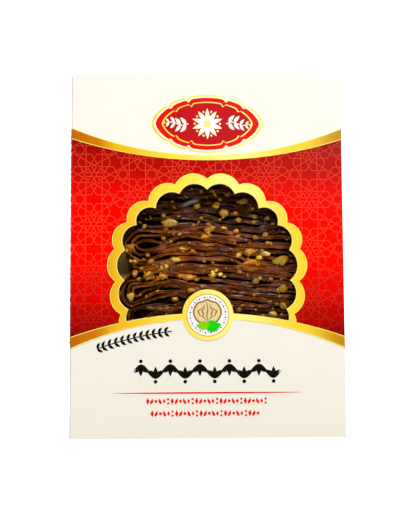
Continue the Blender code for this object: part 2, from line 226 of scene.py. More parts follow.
def marked(tree, name, output="Fac"):
    # The value, or the colour, that a mesh holds at its points under a name.
    return addNode(tree, "Attribute", attribute_name=name).outputs[output]


def noiseAt(tree, vector, scale, detail, **more):
    # Cloudy noise of about 0.3 to 0.7 with so many spots to a metre, or to a UV unit.
    return addNode(tree, "TexNoise", Vector=vector, Scale=scale, Detail=detail, **more).outputs[0]


def addRelief(tree, shader, height, strength, distance):
    # Tilts the surface by the slope of a height.
    bump = addNode(tree, "Bump", Strength=strength, Distance=distance, Height=height)
    tree.links.new(bump.outputs[0], shader.inputs["Normal"])


def fromByte(*colour):
    # Linear light from the 0 to 255 numbers of a screen colour.
    value = np.array(colour) / 255
    return tuple(np.where(value <= 0.04045, value / 12.92, ((value + 0.055) / 1.055) ** 2.4).tolist())


def makePaperGrain():
    # Printed board close up: its height is fine fibre noise, and its tone is 1 plus the ink's
    # wander times a broad noise about zero.
    group = bpy.data.node_groups.new("paperGrain", "ShaderNodeTree")
    for label, side, kind in (
        ("Fibre Scale", "INPUT", "NodeSocketFloat"), ("Ink Wander", "INPUT", "NodeSocketFloat"),
        ("Tone", "OUTPUT", "NodeSocketColor"), ("Height", "OUTPUT", "NodeSocketFloat"),
    ):
        group.interface.new_socket(name=label, in_out=side, socket_type=kind)
    given, out = group.nodes.new("NodeGroupInput").outputs, group.nodes.new("NodeGroupOutput").inputs
    spot = place(group)
    fibre = noiseAt(group, spot, given["Fibre Scale"], 3.0, Roughness=0.6)
    broad = calculate(group, "SUBTRACT", noiseAt(group, spot, 38.0, 2.0), 0.5)
    tone = calculate(group, "ADD", calculate(group, "MULTIPLY", broad, given["Ink Wander"]), 1.0)
    grey = addNode(group, "CombineColor", Red=tone, Green=tone, Blue=tone)
    feed(group, out["Tone"], grey.outputs[0])
    feed(group, out["Height"], fibre)
    return group


paperGrain = makePaperGrain()


def placeGrain(tree, shader, colour, fibreScale, inkWander, strength):
    # The paper grain's tone multiplies the colour, and its height is the relief.
    grain = addNode(tree, "Group", node_tree=paperGrain, Fibre_Scale=fibreScale, Ink_Wander=inkWander)
    feed(tree, shader.inputs["Base Color"], mixColour(tree, 1.0, colour, grain.outputs["Tone"], "MULTIPLY"))
    addRelief(tree, shader, grain.outputs["Height"], strength, 0.04 * mm)


inks = {
    "red": [  # the field's colours up the carton, as screen colours
        (0.0, (112, 0, 0)), (0.13, (180, 4, 0)), (0.25, (220, 5, 0)), (0.40, (255, 6, 0)),
        (0.60, (255, 6, 0)), (0.70, (230, 6, 2)), (0.86, (176, 10, 5)), (1.0, (132, 8, 7)),
    ],
    "line": [  # the star lines' in the same way
        (0.0, (142, 26, 16)), (0.25, (208, 40, 26)), (0.5, (250, 54, 32)), (0.8, (222, 57, 36)),
        (1.0, (188, 54, 36)),
    ],
    # painted highlight: the gold is palest in the middle and browner towards the ends, as a sheen on it
    "gold": [  # from the left to the right
        (0.0, (186, 100, 0)), (0.09, (202, 118, 2)), (0.18, (234, 184, 34)), (0.38, (252, 220, 66)),
        (0.6, (255, 241, 128)), (0.84, (246, 208, 52)), (1.0, (192, 134, 8)),
    ],
    # painted shade: the cream is darker towards the bottom, as the light falls off down the board
    "cream": [  # up the board, in linear light
        (0.0, (0.825, 0.80, 0.70)), (0.28, (0.85, 0.82, 0.73)), (0.8, (0.90, 0.845, 0.77)),
        (1.0, (0.89, 0.835, 0.765)),
    ],
    "inside": (0.95, 0.60, 0.18), "innerFrom": 0.85, "goldEdge": (255, 244, 110),
    "fieldLow": 52 * mm, "fieldHigh": 166 * mm, "goldReach": 75 * mm, "top": 200 * mm,
    "fibres": 1400.0, "boardFibres": 700.0, "relief": 0.06, "boardRelief": 0.16,
}
plainInks = {
    "blackInk": (0.006, 0.005, 0.004), "creamInk": (0.95, 0.92, 0.82), "whiteInk": (0.88, 0.88, 0.86),
    "brightRedInk": fromByte(226, 14, 10), "darkRedInk": fromByte(188, 14, 24),
    "leafInk": fromByte(30, 205, 14), "limeInk": fromByte(130, 206, 16), "shellInk": fromByte(228, 208, 152),
    "brownInk": fromByte(160, 104, 40), "orangeInk": fromByte(214, 140, 24),
}


def printRamp(tree, key, axis, low, high):
    # The ink's screen colours in their order from low to high along one axis of the object.
    stops = [(share, fromByte(*colour)) for share, colour in inks[key]]
    return colourRamp(tree, rescale(tree, axisOf(tree, place(tree), axis), low, high), stops)


def makeFieldInk(name, key):
    # A red of the field: darker at its foot and head than in the middle.
    material, tree, shader = newMaterial(name, Roughness=0.23, Specular_IOR_Level=0.05)
    colour = printRamp(tree, key, 2, inks["fieldLow"], inks["fieldHigh"])
    placeGrain(tree, shader, colour, inks["fibres"], 0.05, inks["relief"])
    return material


def makeGoldInk():
    # Gold print with a painted highlight: yellow in the middle and browner at the ends. A pale
    # line runs at both edges: where the UV's second number is more than about 0.43 from the middle.
    material, tree, shader = newMaterial("goldInk", Roughness=0.3, Specular_IOR_Level=0.12)
    body = printRamp(tree, "gold", 0, -inks["goldReach"], inks["goldReach"])
    across = calculate(tree, "SUBTRACT", axisOf(tree, place(tree, "UV"), 1), 0.5)
    edge = rescale(tree, calculate(tree, "ABSOLUTE", across), 0.40, 0.47)
    colour = mixColour(tree, edge, body, fromByte(*inks["goldEdge"]))
    placeGrain(tree, shader, colour, inks["fibres"], 0.08, inks["relief"])
    return material


def makePlainInk(name, colour, roughness=0.35):
    # One colour, uneven by the paper grain alone.
    material, tree, shader = newMaterial(name, Roughness=roughness, Specular_IOR_Level=0.08)
    placeGrain(tree, shader, colour, inks["fibres"], 0.1, inks["relief"])
    return material


def makeBoard():
    # Cream printed outside, brown inside, by the "inside" value of each point. The cut edges
    # run from one to the other, and the brown starts only close to the inner face.
    material, tree, shader = newMaterial("coatedBoard", Roughness=0.38, Specular_IOR_Level=0.12)
    innerFace = rescale(tree, marked(tree, "inside"), inks["innerFrom"], 1.0)
    # painted shade: the cream ramp darkens towards the bottom
    cream = colourRamp(tree, rescale(tree, axisOf(tree, place(tree), 2), 0.0, inks["top"]), inks["cream"])
    colour = mixColour(tree, innerFace, cream, inks["inside"])
    placeGrain(tree, shader, colour, inks["boardFibres"], 0.03, inks["boardRelief"])
    return material


boardMaterial = makeBoard()
printInks = {"redInk": makeFieldInk("redInk", "red"), "starLineInk": makeFieldInk("starLineInk", "line")}
printInks["goldInk"] = makeGoldInk()
for name, colour in plainInks.items():
    printInks[name] = makePlainInk(name, colour)
cutPaper = makePlainInk("cutPaper", (0.93, 0.84, 0.58), 0.8)
print("materials of the print ready")

# The carton's wall, unrolled: u runs round it from the middle of the front, rightwards

cartonShape = {
    "width": 150 * mm, "depth": 40 * mm, "height": 200 * mm, "board": 0.5 * mm, "corner": 0.8 * mm,
    "bulge": 0.35 * mm, "slit": 0.3 * mm, "frontTop": 199.85 * mm, "foldRadius": 0.5 * mm,
    "tuckLength": 15 * mm, "tuckHalfWidth": 73 * mm, "tuckCorner": 7.5 * mm, "lidInset": 0.25 * mm,
    "dustLength": 36 * mm, "dustInset": 1.7 * mm, "dustTaper": (0.35, 0.45), "tabFoot": 0.92,
    "lidHinge": 4 * mm, "lidTail": 1 * mm, "dustHinge": 3 * mm, "backDrop": 0.2 * mm,
    "narrowsBelow": (0.6 * mm, 2.4 * mm),
}
board, height = cartonShape["board"], cartonShape["height"]
halfWidth, halfDepth = cartonShape["width"] / 2, cartonShape["depth"] / 2
wayRound = 2 * (cartonShape["width"] + cartonShape["depth"])
frontReach = halfWidth - cartonShape["corner"]
cornerPlaces = np.cumsum([0] + 2 * [cartonShape["width"], cartonShape["depth"]])


def makeWallTable(steps=10):
    # The rounded corners as quarter circles: way round, x, y and the outward direction. The
    # first corner stands again at the end, and the panels between are straight.
    radius = cartonShape["corner"]
    share = np.linspace(0, 1, steps + 1)
    turn = np.pi * (1 + (np.arange(5)[:, None] + share) / 2)
    middleX = (halfWidth - radius) * np.array([-1, 1, 1, -1, -1])[:, None]
    middleY = (halfDepth - radius) * np.array([-1, -1, 1, 1, -1])[:, None]
    way = cornerPlaces[:, None] + radius * (2 * share - 1)
    outX, outY = np.cos(turn), np.sin(turn)
    columns = (way, middleX + radius * outX, middleY + radius * outY, outX, outY)
    return [column.ravel() for column in columns]


wallTable = makeWallTable()


def swell(way, z):
    # How far each panel bulges out: a parabola both ways, less on the narrow panels.
    panel = np.clip(np.searchsorted(cornerPlaces, way, side="right") - 1, 0, 3)
    length = np.diff(cornerPlaces)[panel]
    across = 2 * (way - cornerPlaces[panel]) / length - 1
    up = 2 * z / height - 1
    return cartonShape["bulge"] * length / cartonShape["width"] * (1 - across ** 2) * (1 - up ** 2)


def wallPlace(spots, out):
    # The place of each spot (u, z) on the carton, standing out from the board's outer face.
    u, z = np.moveaxis(spots, -1, 0)
    way = np.mod(u + halfWidth, wayRound)
    x, y, outX, outY = (np.interp(way, wallTable[0], column) for column in wallTable[1:])
    stands = out + swell(way, z)
    return pointsOf(x + outX * stands, y + outY * stands, z)


def evenRows(start, end, steps):
    # Grid rows from start to end, which may be whole edges, in even shares.
    start, end = np.asarray(start), np.asarray(end)
    share = np.linspace(0, 1, steps).reshape((-1,) + (1,) * max(start.ndim, end.ndim))
    return start * (1 - share) + end * share


def bandEdge(u, middle, radius):
    # A printed arc: its height at the middle, bending up for a positive radius and down for
    # a negative one, and level round the sides and the back.
    onFront = np.mod(u + halfWidth, wayRound) - halfWidth
    x = np.where(onFront > halfWidth, halfWidth, onFront)
    return middle + math.copysign(1, radius) * (abs(radius) - np.sqrt(radius ** 2 - x ** 2))


printShape = {
    "windowPoints": [  # where the scallops meet, x and z in millimetres
        (0, 135.4), (15.3, 133.0), (28.3, 125.0), (38.8, 115.8), (45.0, 102.0), (45.3, 85.4), (43.2, 69.6),
        (36.0, 56.5),
    ],
    "framePoints": [
        (0, 141.5), (17.7, 138.2), (32.4, 128.9), (44.0, 117.2), (50.7, 102.5), (50.2, 84.7), (47.3, 66.8),
        (39.6, 52.0),
    ],
    "lobeRise": 4.4 * mm, "lobeSteps": 16, "middleHeight": 100 * mm,
    "upperLow": (151.8 * mm, 243.3 * mm), "upperHigh": (154.6 * mm, 190 * mm),
    "lowerLow": (64.5 * mm, -179.7 * mm), "lowerHigh": (67.5 * mm, -224 * mm),
    "badgeHeight": 66.4 * mm, "badgeRadius": 13.9 * mm, "redArcRadius": 215 * mm, "redUnderFrame": 0.55,
    "skin": 0.04 * mm, "lift": 0.02 * mm,
}
windowMiddle = printShape["middleHeight"]


def lobedEdge(points, floorLevel):
    # Half of a scalloped edge from the top middle down: circular arcs between neighbouring
    # points, each bulging out by the rise, cut where they reach floorLevel(x).
    rise, steps = printShape["lobeRise"], printShape["lobeSteps"]
    points = np.array(points) * mm
    chord = np.diff(points, axis=0)
    half = np.hypot(*chord.T) / 2
    radius = (half ** 2 + rise ** 2) / (2 * rise)
    along = chord / (2 * half[:, None])
    outward = pointsOf(-along[:, 1], along[:, 0])
    centre = (points[1:] + points[:-1]) / 2 - outward * (radius - rise)[:, None]
    angle = np.arcsin(half / radius)[:, None] * (2 * np.arange(steps) / steps - 1)
    turned = outward[:, None] * np.cos(angle)[..., None] + along[:, None] * np.sin(angle)[..., None]
    curve = (centre[:, None] + radius[:, None, None] * turned).reshape(-1, 2)
    curve = np.concatenate((curve, points[-1:]))
    above = curve[:, 1] - floorLevel(curve[:, 0])
    first = int(np.argmax(above < 0))
    cut = first - above[first] / (above[first] - above[first - 1])
    lastLobe = len(curve) - 1 - steps
    spot = np.concatenate((np.arange(lastLobe), np.linspace(lastLobe, cut, steps + 1)))
    return pointsOf(*(np.interp(spot, np.arange(len(curve)), axis) for axis in curve.T))


def lowerMiddle(x):
    # Halfway between the lower gold band's two edges.
    return (bandEdge(x, *printShape["lowerLow"]) + bandEdge(x, *printShape["lowerHigh"])) / 2


def upperMiddle(x):
    # Halfway between the upper gold band's two edges.
    return (bandEdge(x, *printShape["upperLow"]) + bandEdge(x, *printShape["upperHigh"])) / 2


def windowEdge():
    # The cut window's right half: lobes, then the sill and the badge's tab up to its top.
    def sill(x):
        return bandEdge(x, *printShape["lowerHigh"])

    lobes = lobedEdge(printShape["windowPoints"], sill)
    radius, centreZ = printShape["badgeRadius"], printShape["badgeHeight"]
    foot = math.asin((sill(radius) - centreZ) / radius)
    sillX = np.linspace(lobes[-1, 0], radius * math.cos(foot), 12)[1:-1]
    turn = np.linspace(foot, math.pi / 2, 26)
    tab = pointsOf(radius * np.cos(turn), centreZ + radius * np.sin(turn))
    return lobes, np.concatenate((pointsOf(sillX, sill(sillX)), tab))


def mirrored(half):
    # The right half of a closed edge and its mirror image, once round from the top middle.
    return np.concatenate((half, (half * (-1, 1))[::-1][1:-1]))


def scallops(points):
    # A scalloped edge over the top, from the lower gold band's middle at the left to the right.
    half = lobedEdge(printShape[points], lowerMiddle)
    return np.concatenate(((half * (-1, 1))[::-1], half[1:]))


def boardSheet(name, outer, inner, closeColumns=False):
    # Carton board between its printed face and its inner one, marked 0 and 1 at their points.
    points, faces = closedSheets(outer, inner, closeColumns=closeColumns)
    inside = np.repeat([0.0, 1.0], points.size // 6)
    return addPiece(name, points, faces, boardMaterial, "carton_board", layers={"inside": inside})


def wallBoard(name, grid, closeColumns=False):
    # The carton's wall over a grid of (u, z).
    return boardSheet(name, wallPlace(grid, 0), wallPlace(grid, -board), closeColumns)


def makeFrontBoard():
    # From the window's edge out to the front panel's edge. The lobes run out by their angle
    # round the middle, and the sill and tab by their x, so that no two rows cross.
    lobes, below = windowEdge()
    angle = np.arctan2(lobes[:, 0], lobes[:, 1] - windowMiddle)
    angle = angle * math.atan2(frontReach, -windowMiddle) / angle[-1]
    across, up = np.sin(angle), np.cos(angle)
    upwards = np.where(up > 0, cartonShape["frontTop"] - windowMiddle, windowMiddle)
    reach = np.minimum(frontReach / np.maximum(across, 1e-9), upwards / np.maximum(abs(up), 1e-9))
    radius = printShape["badgeRadius"]
    feet = [0, cartonShape["tabFoot"] * radius, frontReach]
    belowX = np.interp(below[:, 0], [0, radius, lobes[-1, 0]], feet)
    targets = np.concatenate((pointsOf(across * reach, windowMiddle + up * reach), pointsOf(belowX, 0)))
    grid = evenRows(mirrored(np.concatenate((lobes, below))), mirrored(targets), 14)
    front = wallBoard("frontBoard", grid, closeColumns=True)
    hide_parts("carton")


def aroundSteps():
    # Ways round the sides and the back, in even steps and close together at the corners.
    radius, start, end = cartonShape["corner"], frontReach, wayRound - frontReach
    corners = np.add.outer(cornerPlaces[1:4] - halfWidth, np.linspace(-radius, radius, 11)).ravel()
    everywhere = np.concatenate((corners, np.linspace(start, end, 60)))
    return np.unique(np.round(everywhere[(everywhere >= start - 1e-9) & (everywhere <= end + 1e-9)], 6))


def makeWrap():
    # The two sides and the back in one sheet, ending under the lids.
    u = aroundSteps()
    isBack = (u > halfWidth + cartonShape["depth"]) & (u < wayRound - halfWidth - cartonShape["depth"])
    under = board + cartonShape["slit"] + cartonShape["backDrop"] * isBack
    wallBoard("sideAndBackBoard", pointsOf(u, evenRows(under, height - under, 22)))


def sweptBoard(name, pathAcross, pathUp, halfWidths, alongX, columns=24):
    # A board flap: a path in the upright plane with its half width at each step, given its
    # thickness along the path's normal. The widths run along x, or along y for a dust flap.
    # The printed side is the one that lies further from the carton's middle height.
    path = pointsOf(pathAcross, pathUp)
    steps = np.gradient(path, axis=0)
    normal = pointsOf(-steps[:, 1], steps[:, 0]) / np.hypot(*steps.T)[:, None]
    wide = halfWidths[:, None] * np.linspace(-1, 1, columns)
    sides = []
    for side in (0.5, -0.5):
        across, up = (path + normal * side * board).T[..., None]
        sides.append(pointsOf(wide, across, up) if alongX else pointsOf(across, wide, up))
    inner, outer = sorted(sides, key=lambda face: abs(face[..., 2].mean() - height / 2))
    return boardSheet(name, outer, inner)


def foldedPath(start, corner, end, steps=9):
    # Start to end by way of a corner that is rounded to a quarter circle.
    start, corner, end = (np.array(point) for point in (start, corner, end))
    radius = cartonShape["foldRadius"]
    inWay = (corner - start) / np.linalg.norm(corner - start)
    outWay = (end - corner) / np.linalg.norm(end - corner)
    turn = np.linspace(0, math.pi / 2, steps)[:, None]
    centre = corner - radius * inWay + radius * outWay
    return centre + radius * (inWay * np.sin(turn) - outWay * np.cos(turn))


def makeLids():
    # Each lid starts at the back panel, folds forward over the top, folds down behind the
    # front panel and ends in a round-cornered tuck flap. The base mirrors it.
    tuck = cartonShape["tuckLength"]
    back, level, tip = halfDepth - board / 2, height - board / 2, height - tuck
    tuckY = -halfDepth + board + cartonShape["slit"] + board / 2
    hinge = foldedPath((back, level - cartonShape["lidHinge"]), (back, level), (0, level))
    front = foldedPath((0, level), (tuckY, level), (tuckY, tip))
    lidY = np.linspace(hinge[-1, 0], front[0, 0], 14)[1:-1]
    flapZ = tip + tuck / 2 * (1 - np.sin(np.linspace(0, math.pi / 2, 12)))
    flapZ = np.concatenate((np.linspace(front[-1, 1], flapZ[0], 6)[1:-1], flapZ))
    lid, flap = pointsOf(lidY, level), pointsOf(tuckY, flapZ)
    path = np.concatenate(([(back, level - cartonShape["lidTail"])], hinge, lid, front, flap))
    cut = np.clip((tip + tuck / 2 - path[:, 1]) / (tuck / 2), 0, 1)
    rounded = cartonShape["tuckCorner"] * (1 - np.sqrt(np.clip(1 - cut ** 2, 0, 1)))
    onFlap = softStep(level - path[:, 1], *cartonShape["narrowsBelow"]) * (path[:, 0] < 0)
    widths = (halfWidth - cartonShape["lidInset"]) * (1 - onFlap)
    widths = widths + (cartonShape["tuckHalfWidth"] - rounded) * onFlap
    sweptBoard("topLid", path[:, 0], path[:, 1], widths, alongX=True, columns=40)
    sweptBoard("baseLid", path[:, 0], height - path[:, 1], widths, alongX=True, columns=40)


def makeDustFlaps():
    # From each side wall a flap folds inwards under the lid, and narrows towards its end.
    length = cartonShape["dustLength"]
    wall, level = halfWidth - board / 2, height - board / 2 - board - cartonShape["slit"]
    fold = foldedPath((wall, level - cartonShape["dustHinge"]), (wall, level), (0, level))
    flapX = np.linspace(fold[-1, 0], wall - length, 12)[1:]
    flap = np.concatenate((fold, pointsOf(flapX, level)))
    narrowing, start = cartonShape["dustTaper"]
    taper = narrowing * softStep((wall - flap[:, 0]) / length, start, 1.0)
    widths = (halfDepth - cartonShape["dustInset"]) * (1 - taper)
    for side, sign in (("Right", 1), ("Left", -1)):
        sweptBoard(f"top{side}DustFlap", sign * flap[:, 0], flap[:, 1], widths, alongX=False)
        sweptBoard(f"base{side}DustFlap", sign * flap[:, 0], height - flap[:, 1], widths, alongX=False)


def makeCutEdge():
    # The window's pale cut edge: a small lip of bare paper, whose profile, in steps away from
    # the edge and out of the board, is carried round the window.
    edge = mirrored(np.concatenate(windowEdge()))
    steps = np.roll(edge, -1, axis=0) - np.roll(edge, 1, axis=0)
    outward = pointsOf(-steps[:, 1], steps[:, 0]) / np.hypot(*steps.T)[:, None]
    away = np.array([0.04, 0.02, -0.03, -0.06, -0.06, 0.06]) * mm
    deep = np.array([0.06, 0.11, 0.10, 0.02, -0.50, -0.53]) * mm
    lip = wallPlace(edge + outward * away[:, None, None], deep[:, None])
    faces = gridFaces(len(away), len(edge), closeRows=True, closeColumns=True)
    addPiece("windowCutEdge", lip, faces, cutPaper, "carton_board", sharp=60)


makeFrontBoard()
makeWrap()
makeLids()
makeDustFlaps()
makeCutEdge()
print("carton board ready")

# The print: thin skins on the board


def printSkin(name, grid, ink, layer=1, closeColumns=False, across=None):
    # A thin closed skin over grids of (u, z). A higher layer lies over a lower one. Its UV
    # runs along the columns in centimetres, and across the rows from 0 to 1.
    if grid.ndim == 3:
        grid = grid[None]
    lift, skin = printShape["lift"], printShape["skin"]
    outer, inner = wallPlace(grid, lift * layer + skin), wallPlace(grid, lift * (layer - 1))
    points, faces = closedSheets(outer, inner, closeColumns=closeColumns)
    if across is None:
        across = np.linspace(0, 1, grid.shape[1])[None, :, None]
    uv = twice(pointsOf(grid[..., 0] * 100, across))
    addPiece(name, points, faces, printInks[ink], "carton_board", uv=uv)


def makeRedField():
    # On the front it runs from under the gold frame out to the panel's edge and up under the
    # gold band, whichever comes first at each angle; round the sides and back it is one strip.
    under = printShape["redUnderFrame"]
    start = (1 - under) * scallops("windowPoints") + under * scallops("framePoints")
    lowCorner, radius = float(lowerMiddle(frontReach)), printShape["redArcRadius"]
    angle = np.arctan2(start[:, 0], start[:, 1] - windowMiddle)
    angle = angle * math.atan2(frontReach, lowCorner - windowMiddle) / angle[-1]
    centre = float(upperMiddle(0.0)) - windowMiddle + radius
    along = np.cos(angle) * centre
    inside = along ** 2 - centre ** 2 + radius ** 2
    toArc = np.where((inside > 0) & (along > 0), along - np.sqrt(np.maximum(inside, 0)), 1.0)
    reach = np.minimum(toArc, frontReach / np.maximum(abs(np.sin(angle)), 1e-6))
    end = pointsOf(np.sin(angle) * reach, windowMiddle + np.cos(angle) * reach)
    printSkin("redFieldFront", evenRows(start, end, 16), "redInk")
    u = aroundSteps()
    z = evenRows(lowCorner + 0 * u, float(upperMiddle(halfWidth)), 14)
    printSkin("redFieldRound", pointsOf(u, z), "redInk")


def makeGoldBands():
    # Each band fills the space between its two arcs, all the way round.
    u = np.concatenate((np.linspace(-frontReach, frontReach, 121), aroundSteps()[1:]))[:-1]
    for band in ("upper", "lower"):
        low, high = (bandEdge(u, *printShape[band + side]) for side in ("Low", "High"))
        printSkin(band + "GoldBand", pointsOf(u, evenRows(low, high, 9)), "goldInk", 6, closeColumns=True)


def makeGoldFrame():
    # Between the window's scallops and the frame's own. Where it runs over the lower gold band
    # its UV stays in the middle, so that no pale edge line shows there.
    grid = evenRows(scallops("windowPoints"), scallops("framePoints"), 9)
    underTop = bandEdge(grid[..., 0], *printShape["lowerHigh"]) - grid[..., 1]
    onBand = softStep(underTop, -0.6 * mm, 0.3 * mm)
    across = np.linspace(0, 1, 9)[:, None] * (1 - onBand) + 0.5 * onBand
    printSkin("goldFrame", grid, "goldInk", 7, across=across[None])


starPattern = {
    "edge": 27.4 * mm, "columns": 16, "firstX": -62.2 * mm, "firstZ": 61.5 * mm, "units": 50,
    "width": 0.5 * mm, "step": 2.2 * mm, "cornerStep": 0.4 * mm, "cornerReach": 1.2 * mm,
    "lowest": 0.074 * mm, "heightStep": 0.010 * mm, "under": 0.03 * mm, "frameOverlap": 2 * mm,
    "strand": [(1.1, 1.9), (8.1, 1.9), (8.1, 48.1), (1.1, 48.1)],
    "zigzag": [(9.3, 0), (16.5, 12.5), (9.3, 25), (16.5, 37.5), (9.3, 50)],
}


def starSegments():
    # The traditional star net: a triangular lattice of knots, with two strands and two
    # zigzags along each of its edges, as line pieces (start, end) in (u, z).
    edge = starPattern["edge"]
    columnWidth = wayRound / starPattern["columns"]
    column, row = np.arange(starPattern["columns"])[:, None], np.arange(-1, 6)[None]
    z = starPattern["firstZ"] + (row + 0.5 * (column % 2)) * edge
    knots = pointsOf(starPattern["firstX"] + column * columnWidth, z).reshape(-1, 1, 1, 2)
    lines = [np.array(starPattern[key]) for key in ("strand", "zigzag")]
    pairs = np.concatenate([np.stack((line[:-1], line[1:]), axis=1) for line in lines])
    pairs = np.concatenate((pairs, pairs * (-1, 1))) / starPattern["units"]
    ways = np.array([(0, edge), (columnWidth, edge / 2), (columnWidth, -edge / 2)])
    sideways = pointsOf(ways[:, 1], -ways[:, 0])
    local = pairs[None, :, :, :1] * sideways[:, None, None] + pairs[None, :, :, 1:] * ways[:, None, None]
    return (knots + local.reshape(1, -1, 2, 2)).reshape(-1, 2, 2)


def outsideFrame(u, z):
    # True away from the window and its gold frame, by comparing radii at the same angle. u is
    # between minus half a width and the way round less that.
    x, up = (scallops("framePoints") - (0, windowMiddle)).T
    limit = np.interp(np.arctan2(u, z - windowMiddle), np.arctan2(x, up), np.hypot(x, up))
    away = np.hypot(u, z - windowMiddle)
    return (away > limit - starPattern["frameOverlap"]) | (abs(u) > halfWidth)


def makeStarLines():
    # Flat ribbons along the line pieces. Lines of one direction lie at one height, and each
    # of the six directions at its own, so that no two tops meet where lines cross.
    segments = starSegments()
    along = segments[:, 1] - segments[:, 0]
    length = np.hypot(*along.T)
    along = along / length[:, None]
    width = starPattern["width"]
    start = segments[:, 0] - along * width / 3
    length = length + 2 * width / 3
    corners = np.append(cornerPlaces[1:] - halfWidth, -halfWidth)
    ends = np.sort(segments[:, :, 0], axis=1)[..., None]
    reach = starPattern["cornerReach"]
    nearCorner = ((ends[:, 0] < corners + reach) & (ends[:, 1] > corners - reach)).any(axis=1)
    parts, heights = [], []
    for chosen, step in ((~nearCorner, starPattern["step"]), (nearCorner, starPattern["cornerStep"])):
        # Every line piece is cut into short links of one length, and the links out of the
        # red field or behind the gold frame are left out.
        links = np.ceil(length[chosen] / step).astype(int)
        owner = np.repeat(np.flatnonzero(chosen), links)
        way = along[owner]
        order = np.arange(links.sum()) - np.repeat(np.cumsum(links) - links, links)
        share = pointsOf(order, order + 1) / np.repeat(links, links)[:, None]
        spots = start[owner][:, None] + way[:, None] * (share * length[owner][:, None])[..., None]
        middle = spots.mean(axis=1)
        middle[:, 0] = np.mod(middle[:, 0] + halfWidth, wayRound) - halfWidth
        inField = (middle[:, 1] > lowerMiddle(middle[:, 0])) & (middle[:, 1] < upperMiddle(middle[:, 0]))
        keep = inField & outsideFrame(*middle.T)
        side = pointsOf(-way[:, 1], way[:, 0])[:, None, None] * width / 2
        parts.append((spots[:, :, None] + side * np.array([-1, 1])[:, None])[keep])
        turn = np.mod(np.round(np.arctan2(way[keep, 1], way[keep, 0]) / (math.pi / 6)), 6)
        heights.append(starPattern["lowest"] + starPattern["heightStep"] * turn)
    grid = np.concatenate(parts)
    outer = wallPlace(grid, np.concatenate(heights)[:, None, None])
    inner = wallPlace(grid, starPattern["under"])
    addPiece("starLines", *closedSheets(outer, inner), printInks["starLineInk"], "carton_board")


makeRedField()
makeGoldBands()
makeGoldFrame()
makeStarLines()
print("fields, bands and star lines ready")

# Ornament: strokes, each a path with a half width at every step


def strokes(name, paths, halfWidths, ink, layer, across=5):
    # Closed skins: each path widened to both sides along its normal. Arrays (strokes, steps, 2).
    paths, halfWidths = np.array(paths), np.maximum(np.array(halfWidths), 0.01 * mm)
    steps = np.gradient(paths, axis=1)
    normal = pointsOf(-steps[..., 1], steps[..., 0]) / np.linalg.norm(steps, axis=-1)[..., None]
    sideways = (normal * halfWidths[..., None])[:, :, None]
    printSkin(name, paths[:, :, None] + sideways * np.linspace(-1, 1, across)[:, None], ink, layer)


def stroke(name, x, z, halfWidth, ink, layer, across=5):
    # A single stroke through (x, z).
    strokes(name, pointsOf(x, z)[None], np.broadcast_to(halfWidth, x.shape)[None], ink, layer, across)


def forEach(bases, *values):
    # The bases as an array, and each value as a column with one number a base.
    bases = np.array(bases)
    return bases, *(np.broadcast_to(value, len(bases))[:, None] for value in values)


def dots(centres, radii, steps=17):
    # Round spots as strokes: the path crosses each spot, with a circle's half width.
    centres, radii = forEach(centres, radii)
    turn = np.linspace(0, math.pi, steps)
    return centres[:, None] + pointsOf(-np.cos(turn) * radii, 0), np.sin(turn) * radii


def leaves(bases, turns, lengths, widths, bend=0.25, steps=17):
    # Leaves as strokes: from each base along its turn, curving aside by the bend, with the
    # half width of a sine that is widest before the middle.
    bases, turns, lengths, widths, bend = forEach(bases, turns, lengths, widths, bend)
    share = np.linspace(0, 1, steps)
    way = turns + bend * (share - 0.5) * 2
    step = pointsOf(np.cos(way), np.sin(way)) * (lengths / (steps - 1))[..., None]
    paths = bases[:, None] + np.cumsum(step, axis=1) - step[:, :1]
    return paths, widths * np.sin(math.pi * share ** 0.8)


def lozenges(centres, halfLength, halfHeight, steps=17):
    # Diamonds as strokes: the half height falls in a straight line from the middle to the ends.
    share = np.linspace(-1, 1, steps)
    paths = np.array(centres)[:, None] + pointsOf(share * halfLength, 0)
    return paths, np.broadcast_to((1 - abs(share)) * halfHeight, paths.shape[:2])


def together(*groups):
    # The paths of all the groups in one array, and their half widths in another.
    return [np.concatenate(parts) for parts in zip(*groups)]


def ringOf(centre, radius, turns):
    # Points at the given turns round a centre.
    return np.array(centre) + radius * pointsOf(np.cos(turns), np.sin(turns))


cartouche = {
    "centre": (0.3 * mm, 172.3 * mm), "halfWidth": 31.2 * mm, "halfHeight": 16.4 * mm, "power": 0.62,
    "notches": [0.36, 0.70], "notchDepth": 1.5 * mm, "notchWidth": 0.035,
    "insets": [(0, "goldInk"), (1, "creamInk"), (1.7, "brightRedInk"), (4, "goldInk"), (4.6, "darkRedInk")],
    "petals": 10, "petalLength": 7.4 * mm, "petalWidth": 1.25 * mm, "petalsFrom": 1.3 * mm,
    "tipDots": (7.0 * mm, 0.6 * mm), "heart": 1.7 * mm, "stemFrom": 10.5, "stemLength": 12.5,
    "stemWave": 0.9 * mm, "stemHalf": 0.28 * mm, "sprigLeaves": [5.2, 4.8, 4.0, 2.9], "leafTurn": 0.95,
    "endDots": (2.6 * mm, 0.75 * mm),
}


def cartoucheSkin(name, inset, ink, layer):
    # A lens with two notches on each side above and below: its half height along x is
    # (1 - t squared) to a power, less a narrow bell at each notch. Inset draws it in.
    share = -np.cos(np.linspace(0, math.pi, 181))
    t = abs(share)
    tall = (cartouche["halfHeight"] - inset) * (1 - t ** 2) ** cartouche["power"]
    for notch in cartouche["notches"]:
        tall = tall - cartouche["notchDepth"] * bell((t - notch) / cartouche["notchWidth"]) * (1 - t ** 4)
    x, z = cartouche["centre"]
    stroke(name, x + share * (cartouche["halfWidth"] - 1.5 * inset), z, tall, ink, layer, across=25)


